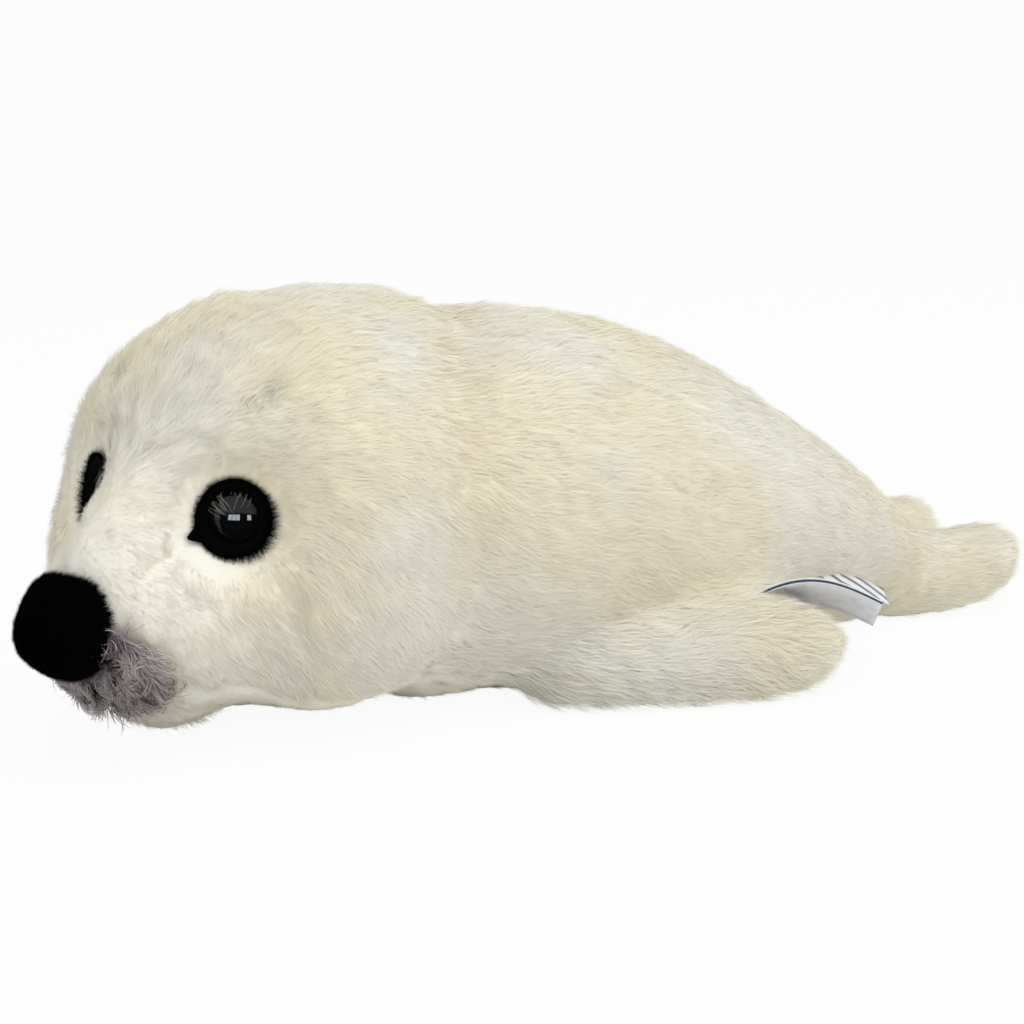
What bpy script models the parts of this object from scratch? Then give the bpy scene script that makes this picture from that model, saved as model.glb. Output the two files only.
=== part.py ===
"""A plush seal pup lying on its belly. It faces -Y, its left side is +X and the floor is Z = 0. Metres."""

import math

import bmesh
import bpy
import numpy as np
from mathutils import Matrix, Vector

# Clearances
SEAM_GAP = 0.0003
STEM_CLEARANCE = 0.0003

# The head's own frame: across to its left, forwards and up, from a point on the floor below its middle
HEAD_Y = -0.0945
HEAD_TURN = math.radians(24)

# The head is a soft union of egg shapes, each with its middle and its half-axes in the head's frame
CRANIUM = ((0.0, 0.0, 0.073), (0.083, 0.067, 0.073))
CROWN = ((0.0, -0.037, 0.090), (0.072, 0.053, 0.056))
BRIDGE = ((0.0, 0.049, 0.075), (0.026, 0.036, 0.023))
SNOUT = ((0.0, 0.064, 0.054), (0.027, 0.033, 0.028))
MUZZLE_PAD = ((0.023, 0.056, 0.046), (0.027, 0.031, 0.027))
CHIN = ((0.0, 0.053, 0.024), (0.024, 0.028, 0.023))
JOWL = ((0.038, 0.013, 0.049), (0.043, 0.050, 0.043))
HEAD_SOFTNESS = 0.0035
HEAD_REACH = 2 * (SNOUT[0][1] + SNOUT[1][1])
HALVINGS = 40
LEAST_SLOPE = 1e-6
HEAD_AROUND = 44
HEAD_ALONG = 30

# The filling never lies even: it swells the head and the torso in soft lumps, but not the face
LUMP_HEIGHT = 0.0010
LUMP_SIZE = 0.034
LUMP_SIZES = (0.6, 1.5)
LUMP_WAVES = 14
LUMP_SEED = 20
FACE_FORWARD = 0.75
LUMPS_FORWARD = 0.35

# Dents in the pile around the eyes and at the brow marks: a direction from the cranium's middle,
# a depth and an angular width
EYE_DIRECTION = (0.525, 0.83, 0.10)
EYE_DENT_DEPTH = 0.016
EYE_DENT_WIDTH = math.radians(15)
BROW_DIRECTION = (0.49, 0.54, 0.68)
BROW_DENT_DEPTH = 0.004
BROW_DENT_WIDTH = math.radians(9)

# The torso: its height, its half-width and the height of its widest line, at stations along Y
TORSO_FRONT_Y = -0.088
TORSO_TAIL_Y = 0.182
TORSO_STATIONS_Y = (-0.090, -0.040, 0.000, 0.050, 0.100, 0.140, 0.182)
TORSO_TOPS = (0.133, 0.136, 0.135, 0.123, 0.096, 0.070, 0.043)
TORSO_HALF_WIDTHS = (0.070, 0.079, 0.081, 0.075, 0.061, 0.046, 0.034)
TORSO_WIDEST_HEIGHTS = (0.056, 0.056, 0.053, 0.047, 0.039, 0.031, 0.022)
TORSO_BELOW_FLOOR = 0.006
TORSO_STRAIGHT_SHARE = 0.74
TORSO_AROUND = 36
TORSO_ALONG = 26

# The front flippers: paddles that lie on the floor and point back and out
FLIPPER_ROOT_Y = -0.029
FLIPPER_ROOT_INSET = 0.029
FLIPPER_LENGTH = 0.122
FLIPPER_SPLAY = math.radians(17)
FLIPPER_HALF_WIDTHS = (0.020, 0.023)
FLIPPER_THICKNESSES = (0.040, 0.034)
FLIPPER_LIFT = 0.002

# The hind flippers: two lobes side by side at the tail
HIND_ROOT_X = 0.0155
HIND_OVERLAP = 0.042
HIND_LENGTH = 0.077
HIND_SPLAY = math.radians(11)
HIND_HALF_WIDTHS = (0.014, 0.026)
HIND_THICKNESSES = (0.036, 0.029)
HIND_LIFT = 0.0115
PADDLE_SQUARENESS = 4
PADDLE_AROUND = 20
PADDLE_ALONG = 14

# The nose: a velour pad with a rounded triangular outline over the end of the snout
NOSE_DIRECTION = (0.0, 0.96, -0.25)
NOSE_RADII = (0.0172, 0.0152, 0.0165)
NOSE_OUT = 0.0002
NOSE_TAPER = 0.25
NOSE_POWER = 0.75
NOSE_LEAN = math.radians(38)

# The mouth patch: a layer of longer pile under and beside the nose
MOUTH_DIRECTION = (0.0, 0.89, -0.39)
MOUTH_RADII = (0.031, 0.030, 0.018)
MOUTH_PILE = 0.0035

# The eyes: moulded domes on stems, locked inside by washers, each in a black felt surround
EYE_AXIS = (0.50, 0.82, 0.20)
EYE_RADIUS = 0.0115
EYE_DOME_HEIGHT = 0.0080
EYE_SINK = 0.0020
EYE_RIM_HEIGHT = 0.0012
STEM_RADIUS = 0.0022
STEM_LENGTH = 0.0150
WASHER_RADIUS = 0.0080
WASHER_THICKNESS = 0.0020
WASHER_DEPTH = 0.0090
SURROUND_WIDTH = 0.0012
FELT_THICKNESS = 0.0016
TEAR_POINT = 0.0036
TEAR_ANGLE = math.radians(205)
TEAR_SHARPNESS = 12
FELT_REACH = 0.023
ROUND_STEPS = 24
DOME_STEPS = 6
MERGE_DISTANCE = 0.00001

# The labels: strips of satin ribbon sewn in at the left flank, over the front flipper's end
LABEL_THICKNESS = 0.0008
LABEL_ARCH = 0.003
SEAM_LABEL_ROOT = (0.062, 0.054, 0.039)
SEAM_LABEL_SIZE = (0.056, 0.020)
SEAM_LABEL_HEADING = math.radians(64)
SEAM_LABEL_DROP = 0.010
SEAM_LABEL_ROLL = math.radians(8)
CARE_LABEL_ROOT = (0.052, 0.092, 0.034)
CARE_LABEL_SIZE = (0.040, 0.018)
CARE_LABEL_HEADING = math.radians(60)
CARE_LABEL_DROP = 0.004
CARE_LABEL_ROLL = math.radians(34)
LABEL_STEPS = 12

WHITE_PILE = (0.93, 0.90, 0.80, 1.0)
BLACK_PILE = (0.012, 0.012, 0.014, 1.0)
GREY_PILE = (0.42, 0.38, 0.39, 1.0)
BLACK_PLASTIC = (0.010, 0.010, 0.012, 1.0)
CLEAR_PLASTIC = (0.75, 0.75, 0.72, 1.0)
SATIN = (0.86, 0.87, 0.90, 1.0)

for startup_object in list(bpy.data.objects):
    bpy.data.objects.remove(startup_object)
PARTS = bpy.data.collections.new("plush_seal")
CUTTERS = bpy.data.collections.new("cutters")
for collection in (PARTS, CUTTERS):
    bpy.context.scene.collection.children.link(collection)
STAND = bpy.data.objects.new("stand", None)
PARTS.objects.link(STAND)


def material(name, colour, roughness):
    made = bpy.data.materials.new(name)
    made.use_nodes = True
    shader = made.node_tree.nodes["Principled BSDF"]
    shader.inputs["Base Color"].default_value = colour
    shader.inputs["Roughness"].default_value = roughness
    return made


def linked(name, mesh, look=None):
    """Puts a mesh on the stand: as a part where it has a look, and otherwise as a cutter."""
    obj = bpy.data.objects.new(name, mesh)
    obj.parent = STAND
    if look:
        mesh.materials.append(look)
        mesh.shade_smooth()
        PARTS.objects.link(obj)
    else:
        obj.hide_render = True
        obj.display_type = "WIRE"
        CUTTERS.objects.link(obj)
    return obj


def boolean(obj, operation, *others):
    for other in others:
        modifier = obj.modifiers.new(other.name, "BOOLEAN")
        modifier.operation = operation
        modifier.object = other


def head_to_world(across, forward, up):
    """Turns the head's own coordinates, numbers or arrays, into world ones."""
    x = across * math.cos(HEAD_TURN) + forward * math.sin(HEAD_TURN)
    y = HEAD_Y + across * math.sin(HEAD_TURN) - forward * math.cos(HEAD_TURN)
    return x, y, up


def egg_distance(points, middle, radii):
    """How far points lie outside an egg shape, to first order: below zero inside."""
    scaled = (points - np.array(middle)) / np.array(radii)
    size = np.linalg.norm(scaled, axis=1)
    slope = np.linalg.norm(scaled / np.array(radii), axis=1)
    return size * (size - 1) / np.maximum(slope, LEAST_SLOPE)


def head_distance(points):
    """The soft union of the head's egg shapes, with the pads and jowls on both sides."""
    eggs = [CRANIUM, CROWN, BRIDGE, SNOUT, CHIN]
    for (across, forward, up), radii in (MUZZLE_PAD, JOWL):
        eggs += [((side * across, forward, up), radii) for side in (-1, 1)]
    total = sum(np.exp(-egg_distance(points, *egg) / HEAD_SOFTNESS) for egg in eggs)
    return -HEAD_SOFTNESS * np.log(total)


def dent_depth(directions):
    """The dents' depth along each direction: a Gaussian of the angle to each dent's middle."""
    depth = np.zeros(len(directions))
    dents = (
        (EYE_DIRECTION, EYE_DENT_DEPTH, EYE_DENT_WIDTH),
        (BROW_DIRECTION, BROW_DENT_DEPTH, BROW_DENT_WIDTH),
    )
    for (across, forward, up), deep, width in dents:
        for side in (-1, 1):
            middle = np.array(Vector((side * across, forward, up)).normalized())
            angle = np.arccos(np.clip(directions @ middle, -1, 1))
            depth += deep * np.exp(-((angle / width) ** 2))
    return depth


def filling_lumps(points):
    """How far the filling pushes the cover out: waves sin(k . p + phase) in seeded directions, summed."""
    random = np.random.default_rng(LUMP_SEED)
    ways = random.normal(size=(LUMP_WAVES, 3))
    ways /= np.linalg.norm(ways, axis=1, keepdims=True)
    waves = ways * 2 * math.pi / (LUMP_SIZE * random.uniform(*LUMP_SIZES, (LUMP_WAVES, 1)))
    phases = random.uniform(0, 2 * math.pi, LUMP_WAVES)
    return LUMP_HEIGHT * np.sin(points @ waves.T + phases).sum(axis=1) / math.sqrt(LUMP_WAVES)


def head_points(directions, grow=0.0):
    """Where rays from the cranium's middle leave the head, found by halving, with lumps and less the dents."""
    start = np.array(CRANIUM[0])
    near = np.zeros(len(directions))
    far = np.full(len(directions), HEAD_REACH)
    for _ in range(HALVINGS):
        middle = (near + far) / 2
        outside = head_distance(start + directions * middle[:, None]) > grow
        near = np.where(outside, near, middle)
        far = np.where(outside, middle, far)
    calm = np.clip((FACE_FORWARD - directions[:, 1]) / (FACE_FORWARD - LUMPS_FORWARD), 0, 1)
    lumps = calm * filling_lumps(directions * CRANIUM[1][0])
    reach = far + lumps - dent_depth(directions)
    return start + directions * reach[:, None]


def on_head(direction, out=0.0):
    """The world point over the head's surface in one direction of its frame."""
    unit = np.array(Vector(direction).normalized())
    point = head_points(unit[None, :])[0] + unit * out
    return Vector(head_to_world(*point))


def head_heading(direction):
    """A direction of the head's frame as a world direction."""
    return (Vector(head_to_world(*direction)) - Vector((0, HEAD_Y, 0))).normalized()


def head_shape(sphere, grow=0.0):
    """The sphere's poles become the snout's end and the nape."""
    directions = np.stack([sphere[:, 0], sphere[:, 2], sphere[:, 1]], axis=1)
    points = head_points(directions, grow)
    return np.stack(head_to_world(points[:, 0], points[:, 1], points[:, 2]), axis=1)


def at_station(y, values):
    """A value read between the torso's stations along a smooth curve."""
    spots = np.array(TORSO_STATIONS_Y)
    values = np.array(values)
    slopes = np.gradient(values, spots)
    i = np.clip(np.searchsorted(spots, y) - 1, 0, len(spots) - 2)
    step = spots[i + 1] - spots[i]
    t = np.clip((y - spots[i]) / step, 0, 1)
    rise = values[i + 1] - values[i]
    start = slopes[i] * step - rise
    end = rise - slopes[i + 1] * step
    return values[i] + t * rise + t * (1 - t) * ((1 - t) * start + t * end)


def torso_shape(sphere, grow=0.0):
    """Ellipses along Y, wider below than above, rounded off at both ends of the torso."""
    half_length = (TORSO_TAIL_Y - TORSO_FRONT_Y) / 2
    along = sphere[:, 2]
    turn = np.arctan2(sphere[:, 1], sphere[:, 0])
    y = TORSO_FRONT_Y + half_length * (1 + along)
    past = (np.abs(along) - TORSO_STRAIGHT_SHARE) / (1 - TORSO_STRAIGHT_SHARE)
    full = np.sqrt(1 - np.clip(past, 0, 1) ** 2)
    widest = at_station(y, TORSO_WIDEST_HEIGHTS)
    top = at_station(y, TORSO_TOPS) - widest
    height = np.where(np.sin(turn) > 0, top, widest + TORSO_BELOW_FLOOR)
    half_width = at_station(y, TORSO_HALF_WIDTHS)
    lumps = filling_lumps(np.stack([half_width * np.cos(turn), y, top * np.sin(turn)], axis=1))
    x = ((half_width + lumps) * full + grow) * np.cos(turn)
    z = widest + ((height + lumps) * full + grow) * np.sin(turn)
    return np.stack([x, y + grow * along, z], axis=1)


def paddle_shape(sphere, root, splay, length, half_widths, thicknesses, lift, side):
    """A flat-bottomed paddle from its root towards +Y, turned outwards by its splay and lifted at its end."""
    along = (1 + sphere[:, 2]) / 2
    turn = np.arctan2(sphere[:, 1], sphere[:, 0])
    full = np.sqrt(1 - sphere[:, 2] ** PADDLE_SQUARENESS)
    width = (half_widths[0] + (half_widths[1] - half_widths[0]) * along) * full
    thickness = thicknesses[0] + (thicknesses[1] - thicknesses[0]) * along
    across = width * np.cos(turn)
    up = thickness * (0.5 + 0.5 * full * np.sin(turn)) + TORSO_BELOW_FLOOR * np.minimum(np.sin(turn), 0)
    up = up + lift * along**2
    x = root[0] + length * along * math.sin(splay) + across * math.cos(splay)
    y = root[1] + length * along * math.cos(splay) - across * math.sin(splay)
    return np.stack([side * x, y, up], axis=1)


def reshaped_sphere(name, shape, around, along, look=None):
    """A UV sphere whose points a shape function moves. A part is then pressed flat on the floor."""
    mesh = bpy.data.meshes.new(name)
    build = bmesh.new()
    bmesh.ops.create_uvsphere(build, u_segments=around, v_segments=along, radius=1)
    moved = shape(np.array([vertex.co for vertex in build.verts]))
    if look:
        moved[:, 2] = np.maximum(moved[:, 2], 0)
    for vertex, point in zip(build.verts, moved):
        vertex.co = point
    bmesh.ops.triangulate(build, faces=build.faces, quad_method="FIXED")
    if build.calc_volume(signed=True) < 0:
        bmesh.ops.reverse_faces(build, faces=build.faces)
    build.to_mesh(mesh)
    build.free()
    return linked(name, mesh, look)


def turned(name, profile, place, look=None):
    """A closed profile of radius and height turned about its axis, then placed by a matrix."""
    mesh = bpy.data.meshes.new(name)
    edges = [(i, i + 1) for i in range(len(profile) - 1)]
    mesh.from_pydata([(radius, 0, height) for radius, height in profile], edges, [])
    obj = linked(name, mesh, look)
    screw = obj.modifiers.new("turn", "SCREW")
    screw.steps = ROUND_STEPS
    screw.render_steps = ROUND_STEPS
    screw.use_merge_vertices = True
    screw.merge_threshold = MERGE_DISTANCE
    obj.matrix_local = place
    return obj


def head_parts(white):
    head = reshaped_sphere("head", head_shape, HEAD_AROUND, HEAD_ALONG, white)
    room = reshaped_sphere("head_room", lambda s: head_shape(s, SEAM_GAP), HEAD_AROUND, HEAD_ALONG)
    return head, room


def torso_parts(white, head_room):
    torso = reshaped_sphere("torso", torso_shape, TORSO_AROUND, TORSO_ALONG, white)
    boolean(torso, "DIFFERENCE", head_room)
    return reshaped_sphere("torso_room", lambda s: torso_shape(s, SEAM_GAP), TORSO_AROUND, TORSO_ALONG)


def flipper(name, look, torso_room, *sizes):
    made = reshaped_sphere(name, lambda s: paddle_shape(s, *sizes), PADDLE_AROUND, PADDLE_ALONG, look)
    boolean(made, "DIFFERENCE", torso_room)
    return made


def flippers(white, torso_room):
    root_x = float(at_station(np.array([FLIPPER_ROOT_Y]), TORSO_HALF_WIDTHS)[0]) - FLIPPER_ROOT_INSET
    front = ((root_x, FLIPPER_ROOT_Y), FLIPPER_SPLAY, FLIPPER_LENGTH, FLIPPER_HALF_WIDTHS,
             FLIPPER_THICKNESSES, FLIPPER_LIFT)
    hind = ((HIND_ROOT_X, TORSO_TAIL_Y - HIND_OVERLAP), HIND_SPLAY, HIND_LENGTH, HIND_HALF_WIDTHS,
            HIND_THICKNESSES, HIND_LIFT)
    for side, word in ((1, "left"), (-1, "right")):
        flipper("front_flipper_" + word, white, torso_room, *front, side)
        flipper("hind_flipper_" + word, white, torso_room, *hind, side)


def nose_shape(sphere, grow=0.0):
    """A squared egg, narrower below, leaning back over the snout's end."""
    squared = np.sign(sphere) * np.abs(sphere) ** NOSE_POWER
    narrow = 1 - NOSE_TAPER * (1 - squared[:, 2]) / 2
    across = (NOSE_RADII[0] * narrow + grow) * squared[:, 0]
    forward = (NOSE_RADII[1] + grow) * squared[:, 1]
    up = (NOSE_RADII[2] + grow) * squared[:, 2]
    leant_forward = forward * math.cos(NOSE_LEAN) - up * math.sin(NOSE_LEAN)
    leant_up = forward * math.sin(NOSE_LEAN) + up * math.cos(NOSE_LEAN)
    x, y, _ = head_to_world(across, leant_forward, leant_up)
    middle = on_head(NOSE_DIRECTION, NOSE_OUT)
    return np.stack([x + middle.x, y - HEAD_Y + middle.y, leant_up + middle.z], axis=1)


def mouth_shape(sphere):
    """An egg over the mouth, which gives the patch its outline."""
    x, y, z = head_to_world(*(sphere * np.array(MOUTH_RADII)).T)
    middle = on_head(MOUTH_DIRECTION)
    return np.stack([x + middle.x, y - HEAD_Y + middle.y, z + middle.z], axis=1)


def nose_and_mouth(black, grey, head_room):
    nose = reshaped_sphere("nose", nose_shape, PADDLE_AROUND, PADDLE_ALONG, black)
    boolean(nose, "DIFFERENCE", head_room)
    nose_room = reshaped_sphere("nose_room", lambda s: nose_shape(s, SEAM_GAP), PADDLE_AROUND, PADDLE_ALONG)
    pile = reshaped_sphere("mouth_pile", lambda s: head_shape(s, MOUTH_PILE), HEAD_AROUND, HEAD_ALONG)
    mouth = reshaped_sphere("mouth_patch", mouth_shape, PADDLE_AROUND, PADDLE_ALONG, grey)
    boolean(mouth, "INTERSECT", pile)
    boolean(mouth, "DIFFERENCE", head_room, nose_room)


def eye_profile(grow=0.0):
    """From the dome's top over its rim, across its back and down the stem."""
    steps = [math.pi / 2 * i / DOME_STEPS for i in range(DOME_STEPS + 1)]
    radius = EYE_RADIUS + grow
    dome = [(radius * math.sin(a), EYE_RIM_HEIGHT + (EYE_DOME_HEIGHT + grow) * math.cos(a)) for a in steps]
    stem = STEM_RADIUS + (STEM_CLEARANCE if grow else 0)
    return [(0, dome[0][1]), *dome[1:], (radius, -grow), (stem, -grow), (stem, -STEM_LENGTH - grow),
            (0, -STEM_LENGTH - grow)]


def ring_profile(inner, outer, low, high):
    return [(inner, high), (outer, high), (outer, low), (inner, low), (inner, high)]


def eye_parts(side, word, looks, head, head_room, felt_layer):
    """One eye on its stem, its washer in a pocket inside the head, and its felt surround."""
    plastic, clear, felt = looks
    middle = on_head((side * EYE_DIRECTION[0], *EYE_DIRECTION[1:]), -EYE_SINK)
    axis = head_heading((side * EYE_AXIS[0], *EYE_AXIS[1:]))
    across = Vector((0, 0, 1)).cross(axis).normalized() * side
    turn = Matrix((across, axis.cross(across), axis)).transposed().to_4x4()
    place = Matrix.Translation(middle) @ turn

    turned("eye_" + word, eye_profile(), place, plastic)
    eye_room = turned("eye_room_" + word, eye_profile(SEAM_GAP), place)
    top = -WASHER_DEPTH
    low = top - WASHER_THICKNESS
    washer = ring_profile(STEM_RADIUS + STEM_CLEARANCE, WASHER_RADIUS, low, top)
    turned("eye_washer_" + word, washer, place, clear)
    pocket = [(0, top + SEAM_GAP), (WASHER_RADIUS + SEAM_GAP, top + SEAM_GAP),
              (WASHER_RADIUS + SEAM_GAP, low - SEAM_GAP), (0, low - SEAM_GAP)]
    boolean(head, "DIFFERENCE", eye_room, turned("washer_pocket_" + word, pocket, place))

    mesh = bpy.data.meshes.new("eye_backing_" + word)
    build = bmesh.new()
    bmesh.ops.create_cone(build, cap_ends=True, segments=ROUND_STEPS, radius1=1, radius2=1, depth=1)
    for vertex in build.verts:
        angle = math.atan2(vertex.co.y, vertex.co.x)
        point = max(0.0, math.cos(angle - side * TEAR_ANGLE)) ** TEAR_SHARPNESS
        radius = EYE_RADIUS + SURROUND_WIDTH + TEAR_POINT * point
        vertex.co = (radius * math.cos(angle), radius * math.sin(angle), vertex.co.z * 2 * FELT_REACH)
    build.to_mesh(mesh)
    build.free()
    backing = linked("eye_backing_" + word, mesh, felt)
    backing.matrix_local = place
    boolean(backing, "INTERSECT", felt_layer)
    boolean(backing, "DIFFERENCE", head_room, eye_room)


def label(name, look, torso_room, root, size, heading, drop, roll):
    """A ribbon from inside the flank: it arches along its length, drops to its end and rolls outwards."""
    length, width = size
    mesh = bpy.data.meshes.new(name)
    build = bmesh.new()
    bmesh.ops.create_grid(build, x_segments=LABEL_STEPS, y_segments=2, size=0.5)
    along = Vector((math.cos(heading), math.sin(heading), 0))
    across = Vector((-along.y * math.cos(roll), along.x * math.cos(roll), math.sin(roll)))
    for vertex in build.verts:
        share = vertex.co.x + 0.5
        rise = LABEL_ARCH * math.sin(math.pi * share) - drop * share**2
        vertex.co = Vector(root) + along * length * share + across * width * vertex.co.y
        vertex.co.z += rise
    build.to_mesh(mesh)
    build.free()
    ribbon = linked(name, mesh, look)
    solid = ribbon.modifiers.new("ribbon", "SOLIDIFY")
    solid.thickness = LABEL_THICKNESS
    solid.offset = 0
    boolean(ribbon, "DIFFERENCE", torso_room)


def labels(satin, torso_room):
    label("seam_label", satin, torso_room, SEAM_LABEL_ROOT, SEAM_LABEL_SIZE, SEAM_LABEL_HEADING,
          SEAM_LABEL_DROP, SEAM_LABEL_ROLL)
    label("care_label", satin, torso_room, CARE_LABEL_ROOT, CARE_LABEL_SIZE, CARE_LABEL_HEADING,
          CARE_LABEL_DROP, CARE_LABEL_ROLL)


def centre_stand():
    """Slides the stand so that the middle of the whole length lies over the origin."""
    bpy.context.view_layer.update()
    graph = bpy.context.evaluated_depsgraph_get()
    ends = []
    for obj in PARTS.objects:
        if obj.type == "MESH":
            corners = obj.evaluated_get(graph).bound_box
            ends += [(obj.matrix_world @ Vector(corner)).y for corner in corners]
    STAND.location.y = -(min(ends) + max(ends)) / 2


def main():
    white = material("white_pile", WHITE_PILE, 0.95)
    black = material("black_velour", BLACK_PILE, 0.9)
    grey = material("grey_pile", GREY_PILE, 0.95)
    felt = material("black_felt", BLACK_PILE, 1.0)
    plastic = material("black_plastic", BLACK_PLASTIC, 0.08)
    clear = material("clear_plastic", CLEAR_PLASTIC, 0.4)
    satin = material("satin_ribbon", SATIN, 0.5)

    head, head_room = head_parts(white)
    torso_room = torso_parts(white, head_room)
    flippers(white, torso_room)
    nose_and_mouth(black, grey, head_room)
    layer = reshaped_sphere("felt_layer", lambda s: head_shape(s, FELT_THICKNESS), HEAD_AROUND, HEAD_ALONG)
    for side, word in ((1, "left"), (-1, "right")):
        eye_parts(side, word, (plastic, clear, felt), head, head_room, layer)
    labels(satin, torso_room)
    centre_stand()


main()
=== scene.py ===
# %% [markdown]
# # A plush seal pup with real pile
# The CAD model gives the seal's solids: a head, a torso, four flippers, a nose, a mouth patch, two eyes and two
# labels. What the eye sees on the real toy is neither smooth nor hard. It is a sewn skin, blown up a little by its
# filling, with hundreds of thousands of fine hairs. This lesson dresses the solids with those.

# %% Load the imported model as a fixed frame
import math
from collections import namedtuple

import bpy
import numpy as np
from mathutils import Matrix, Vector
from mathutils.bvhtree import BVHTree


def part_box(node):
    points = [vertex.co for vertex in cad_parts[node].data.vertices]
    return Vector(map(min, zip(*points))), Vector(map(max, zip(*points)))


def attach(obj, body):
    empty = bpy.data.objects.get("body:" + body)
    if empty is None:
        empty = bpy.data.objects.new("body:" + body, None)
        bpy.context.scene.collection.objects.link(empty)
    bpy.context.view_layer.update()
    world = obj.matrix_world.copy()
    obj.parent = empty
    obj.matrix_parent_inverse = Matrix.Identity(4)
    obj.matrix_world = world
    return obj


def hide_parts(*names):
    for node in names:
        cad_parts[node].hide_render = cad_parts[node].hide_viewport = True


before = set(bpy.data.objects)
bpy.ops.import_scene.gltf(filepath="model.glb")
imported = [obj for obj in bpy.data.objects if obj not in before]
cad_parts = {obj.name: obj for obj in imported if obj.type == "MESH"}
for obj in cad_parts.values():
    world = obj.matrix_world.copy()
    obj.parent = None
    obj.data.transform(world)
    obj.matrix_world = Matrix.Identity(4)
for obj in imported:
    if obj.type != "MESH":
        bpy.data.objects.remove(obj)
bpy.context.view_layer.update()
print("nodes:", ", ".join(sorted(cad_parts)))

# %% [markdown]
# ## The camera
# The photo was taken with a long lens from the seal's left, a little above it. Azimuth 0 looks along +Y, and the
# camera was fitted to the outline, the eyes, the nose and the flipper.

# %% Camera
PHOTO_SIDE = 1024
CAMERA_AZIMUTH = math.radians(61.9)
CAMERA_ELEVATION = math.radians(13.6)
CAMERA_DISTANCE = 0.850
FOCAL_PIXELS = 2292
SENSOR_WIDTH = 36.0
CAMERA_TARGET = Vector((0.0009, -0.0080, 0.0569))


def heading(azimuth, elevation):
    """The unit vector from the seal towards a viewer: (sin a cos e, -cos a cos e, sin e)."""
    return Vector((math.sin(azimuth) * math.cos(elevation), -math.cos(azimuth) * math.cos(elevation),
                   math.sin(elevation)))


def placed_camera():
    data = bpy.data.cameras.new("photo_camera")
    data.sensor_width = SENSOR_WIDTH
    data.lens = FOCAL_PIXELS * SENSOR_WIDTH / PHOTO_SIDE
    made = bpy.data.objects.new("photo_camera", data)
    back = heading(CAMERA_AZIMUTH, CAMERA_ELEVATION)
    made.location = CAMERA_TARGET + CAMERA_DISTANCE * back
    made.rotation_euler = back.to_track_quat("Z", "Y").to_euler()
    bpy.context.scene.collection.objects.link(made)
    bpy.context.scene.camera = made
    return made


camera = placed_camera()
print("lens:", round(camera.data.lens, 1), "mm")

# %% [markdown]
# ## Meshes as arrays
# Every shape below is worked out with numpy for all its points at once. These helpers carry the arrays into
# Blender's meshes and back.

# %% Arrays in and out of meshes


def linked(name, mesh):
    made = bpy.data.objects.new(name, mesh)
    bpy.context.scene.collection.objects.link(made)
    return made


def mesh_from(name, points, faces):
    """A mesh of faces that all have as many corners as faces has columns."""
    mesh = bpy.data.meshes.new(name)
    mesh.vertices.add(len(points))
    mesh.vertices.foreach_set("co", np.asarray(points, np.float32).ravel())
    mesh.loops.add(faces.size)
    mesh.loops.foreach_set("vertex_index", np.asarray(faces, np.int32).ravel())
    mesh.polygons.add(len(faces))
    mesh.polygons.foreach_set("loop_start", np.arange(0, faces.size, faces.shape[1], dtype=np.int32))
    mesh.update(calc_edges=True)
    mesh.shade_smooth()
    return mesh


def read_vectors(items, key, width=3):
    values = np.empty(len(items) * width, np.float32)
    items.foreach_get(key, values)
    return values.reshape(-1, width).astype(float)


def evaluated(obj):
    """The points, normals and corner indices of an object with its modifiers, for a mesh of like faces."""
    seen = obj.evaluated_get(bpy.context.evaluated_depsgraph_get())
    mesh = seen.to_mesh()
    points = read_vectors(mesh.vertices, "co")
    normals = read_vectors(mesh.vertices, "normal")
    corners = np.empty(len(mesh.loops), np.int32)
    mesh.loops.foreach_get("vertex_index", corners)
    corners = corners.reshape(len(mesh.polygons), -1)
    seen.to_mesh_clear()
    return points, normals, corners


def unit(vectors):
    """Each vector over its length."""
    return vectors / np.maximum(np.linalg.norm(vectors, axis=-1, keepdims=True), 1e-12)


def dot(first, second):
    """The dot product of each pair of rows, as a column."""
    return np.sum(first * second, axis=1, keepdims=True)


def smooth_step(low, high, values):
    """0 up to low and 1 from high, with t * t * (3 - 2 t) between them."""
    t = np.clip((values - low) / (high - low), 0, 1)
    return t * t * (3 - 2 * t)


def node_arrays(*names):
    """The points and triangles of some CAD nodes, put together."""
    points, faces = [], []
    for name in names:
        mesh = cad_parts[name].data
        corners = np.empty(len(mesh.loops), np.int32)
        mesh.loops.foreach_get("vertex_index", corners)
        faces.append(corners.reshape(-1, 3) + sum(len(p) for p in points))
        points.append(read_vectors(mesh.vertices, "co"))
    return np.concatenate(points), np.concatenate(faces)


print("head:", len(node_arrays("head")[1]), "triangles")

# %% [markdown]
# ## Soft noise
# Lumps, tufts and colours all need numbers that drift over the body. A sum of sine waves in seeded random
# directions gives them for whole arrays of points, without a lattice that could show.

# %% Noise
WAVES = 14
DRIFT_PEAK = 1.6


def drift(points, size, seed):
    """A soft noise from about -1 to 1: the sum over some waves of sin(k . p + phase), each about `size` long."""
    random = np.random.default_rng(seed)
    waves = unit(random.normal(size=(WAVES, 3))) * (2 * math.pi / size) * random.uniform(0.6, 1.5, (WAVES, 1))
    phases = random.uniform(0, 2 * math.pi, WAVES)
    return np.sin(points @ waves.T + phases).sum(axis=1) / math.sqrt(WAVES / 2) / DRIFT_PEAK


def drift_vectors(points, size, seed):
    return np.stack([drift(points, size, seed + part) for part in range(3)], axis=1)


# %% [markdown]
# ## The head's own frame
# The head is turned to its left. Places on the face are easiest to give in its frame: across to its left,
# forwards and up, from a point on the floor below its middle.

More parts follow.
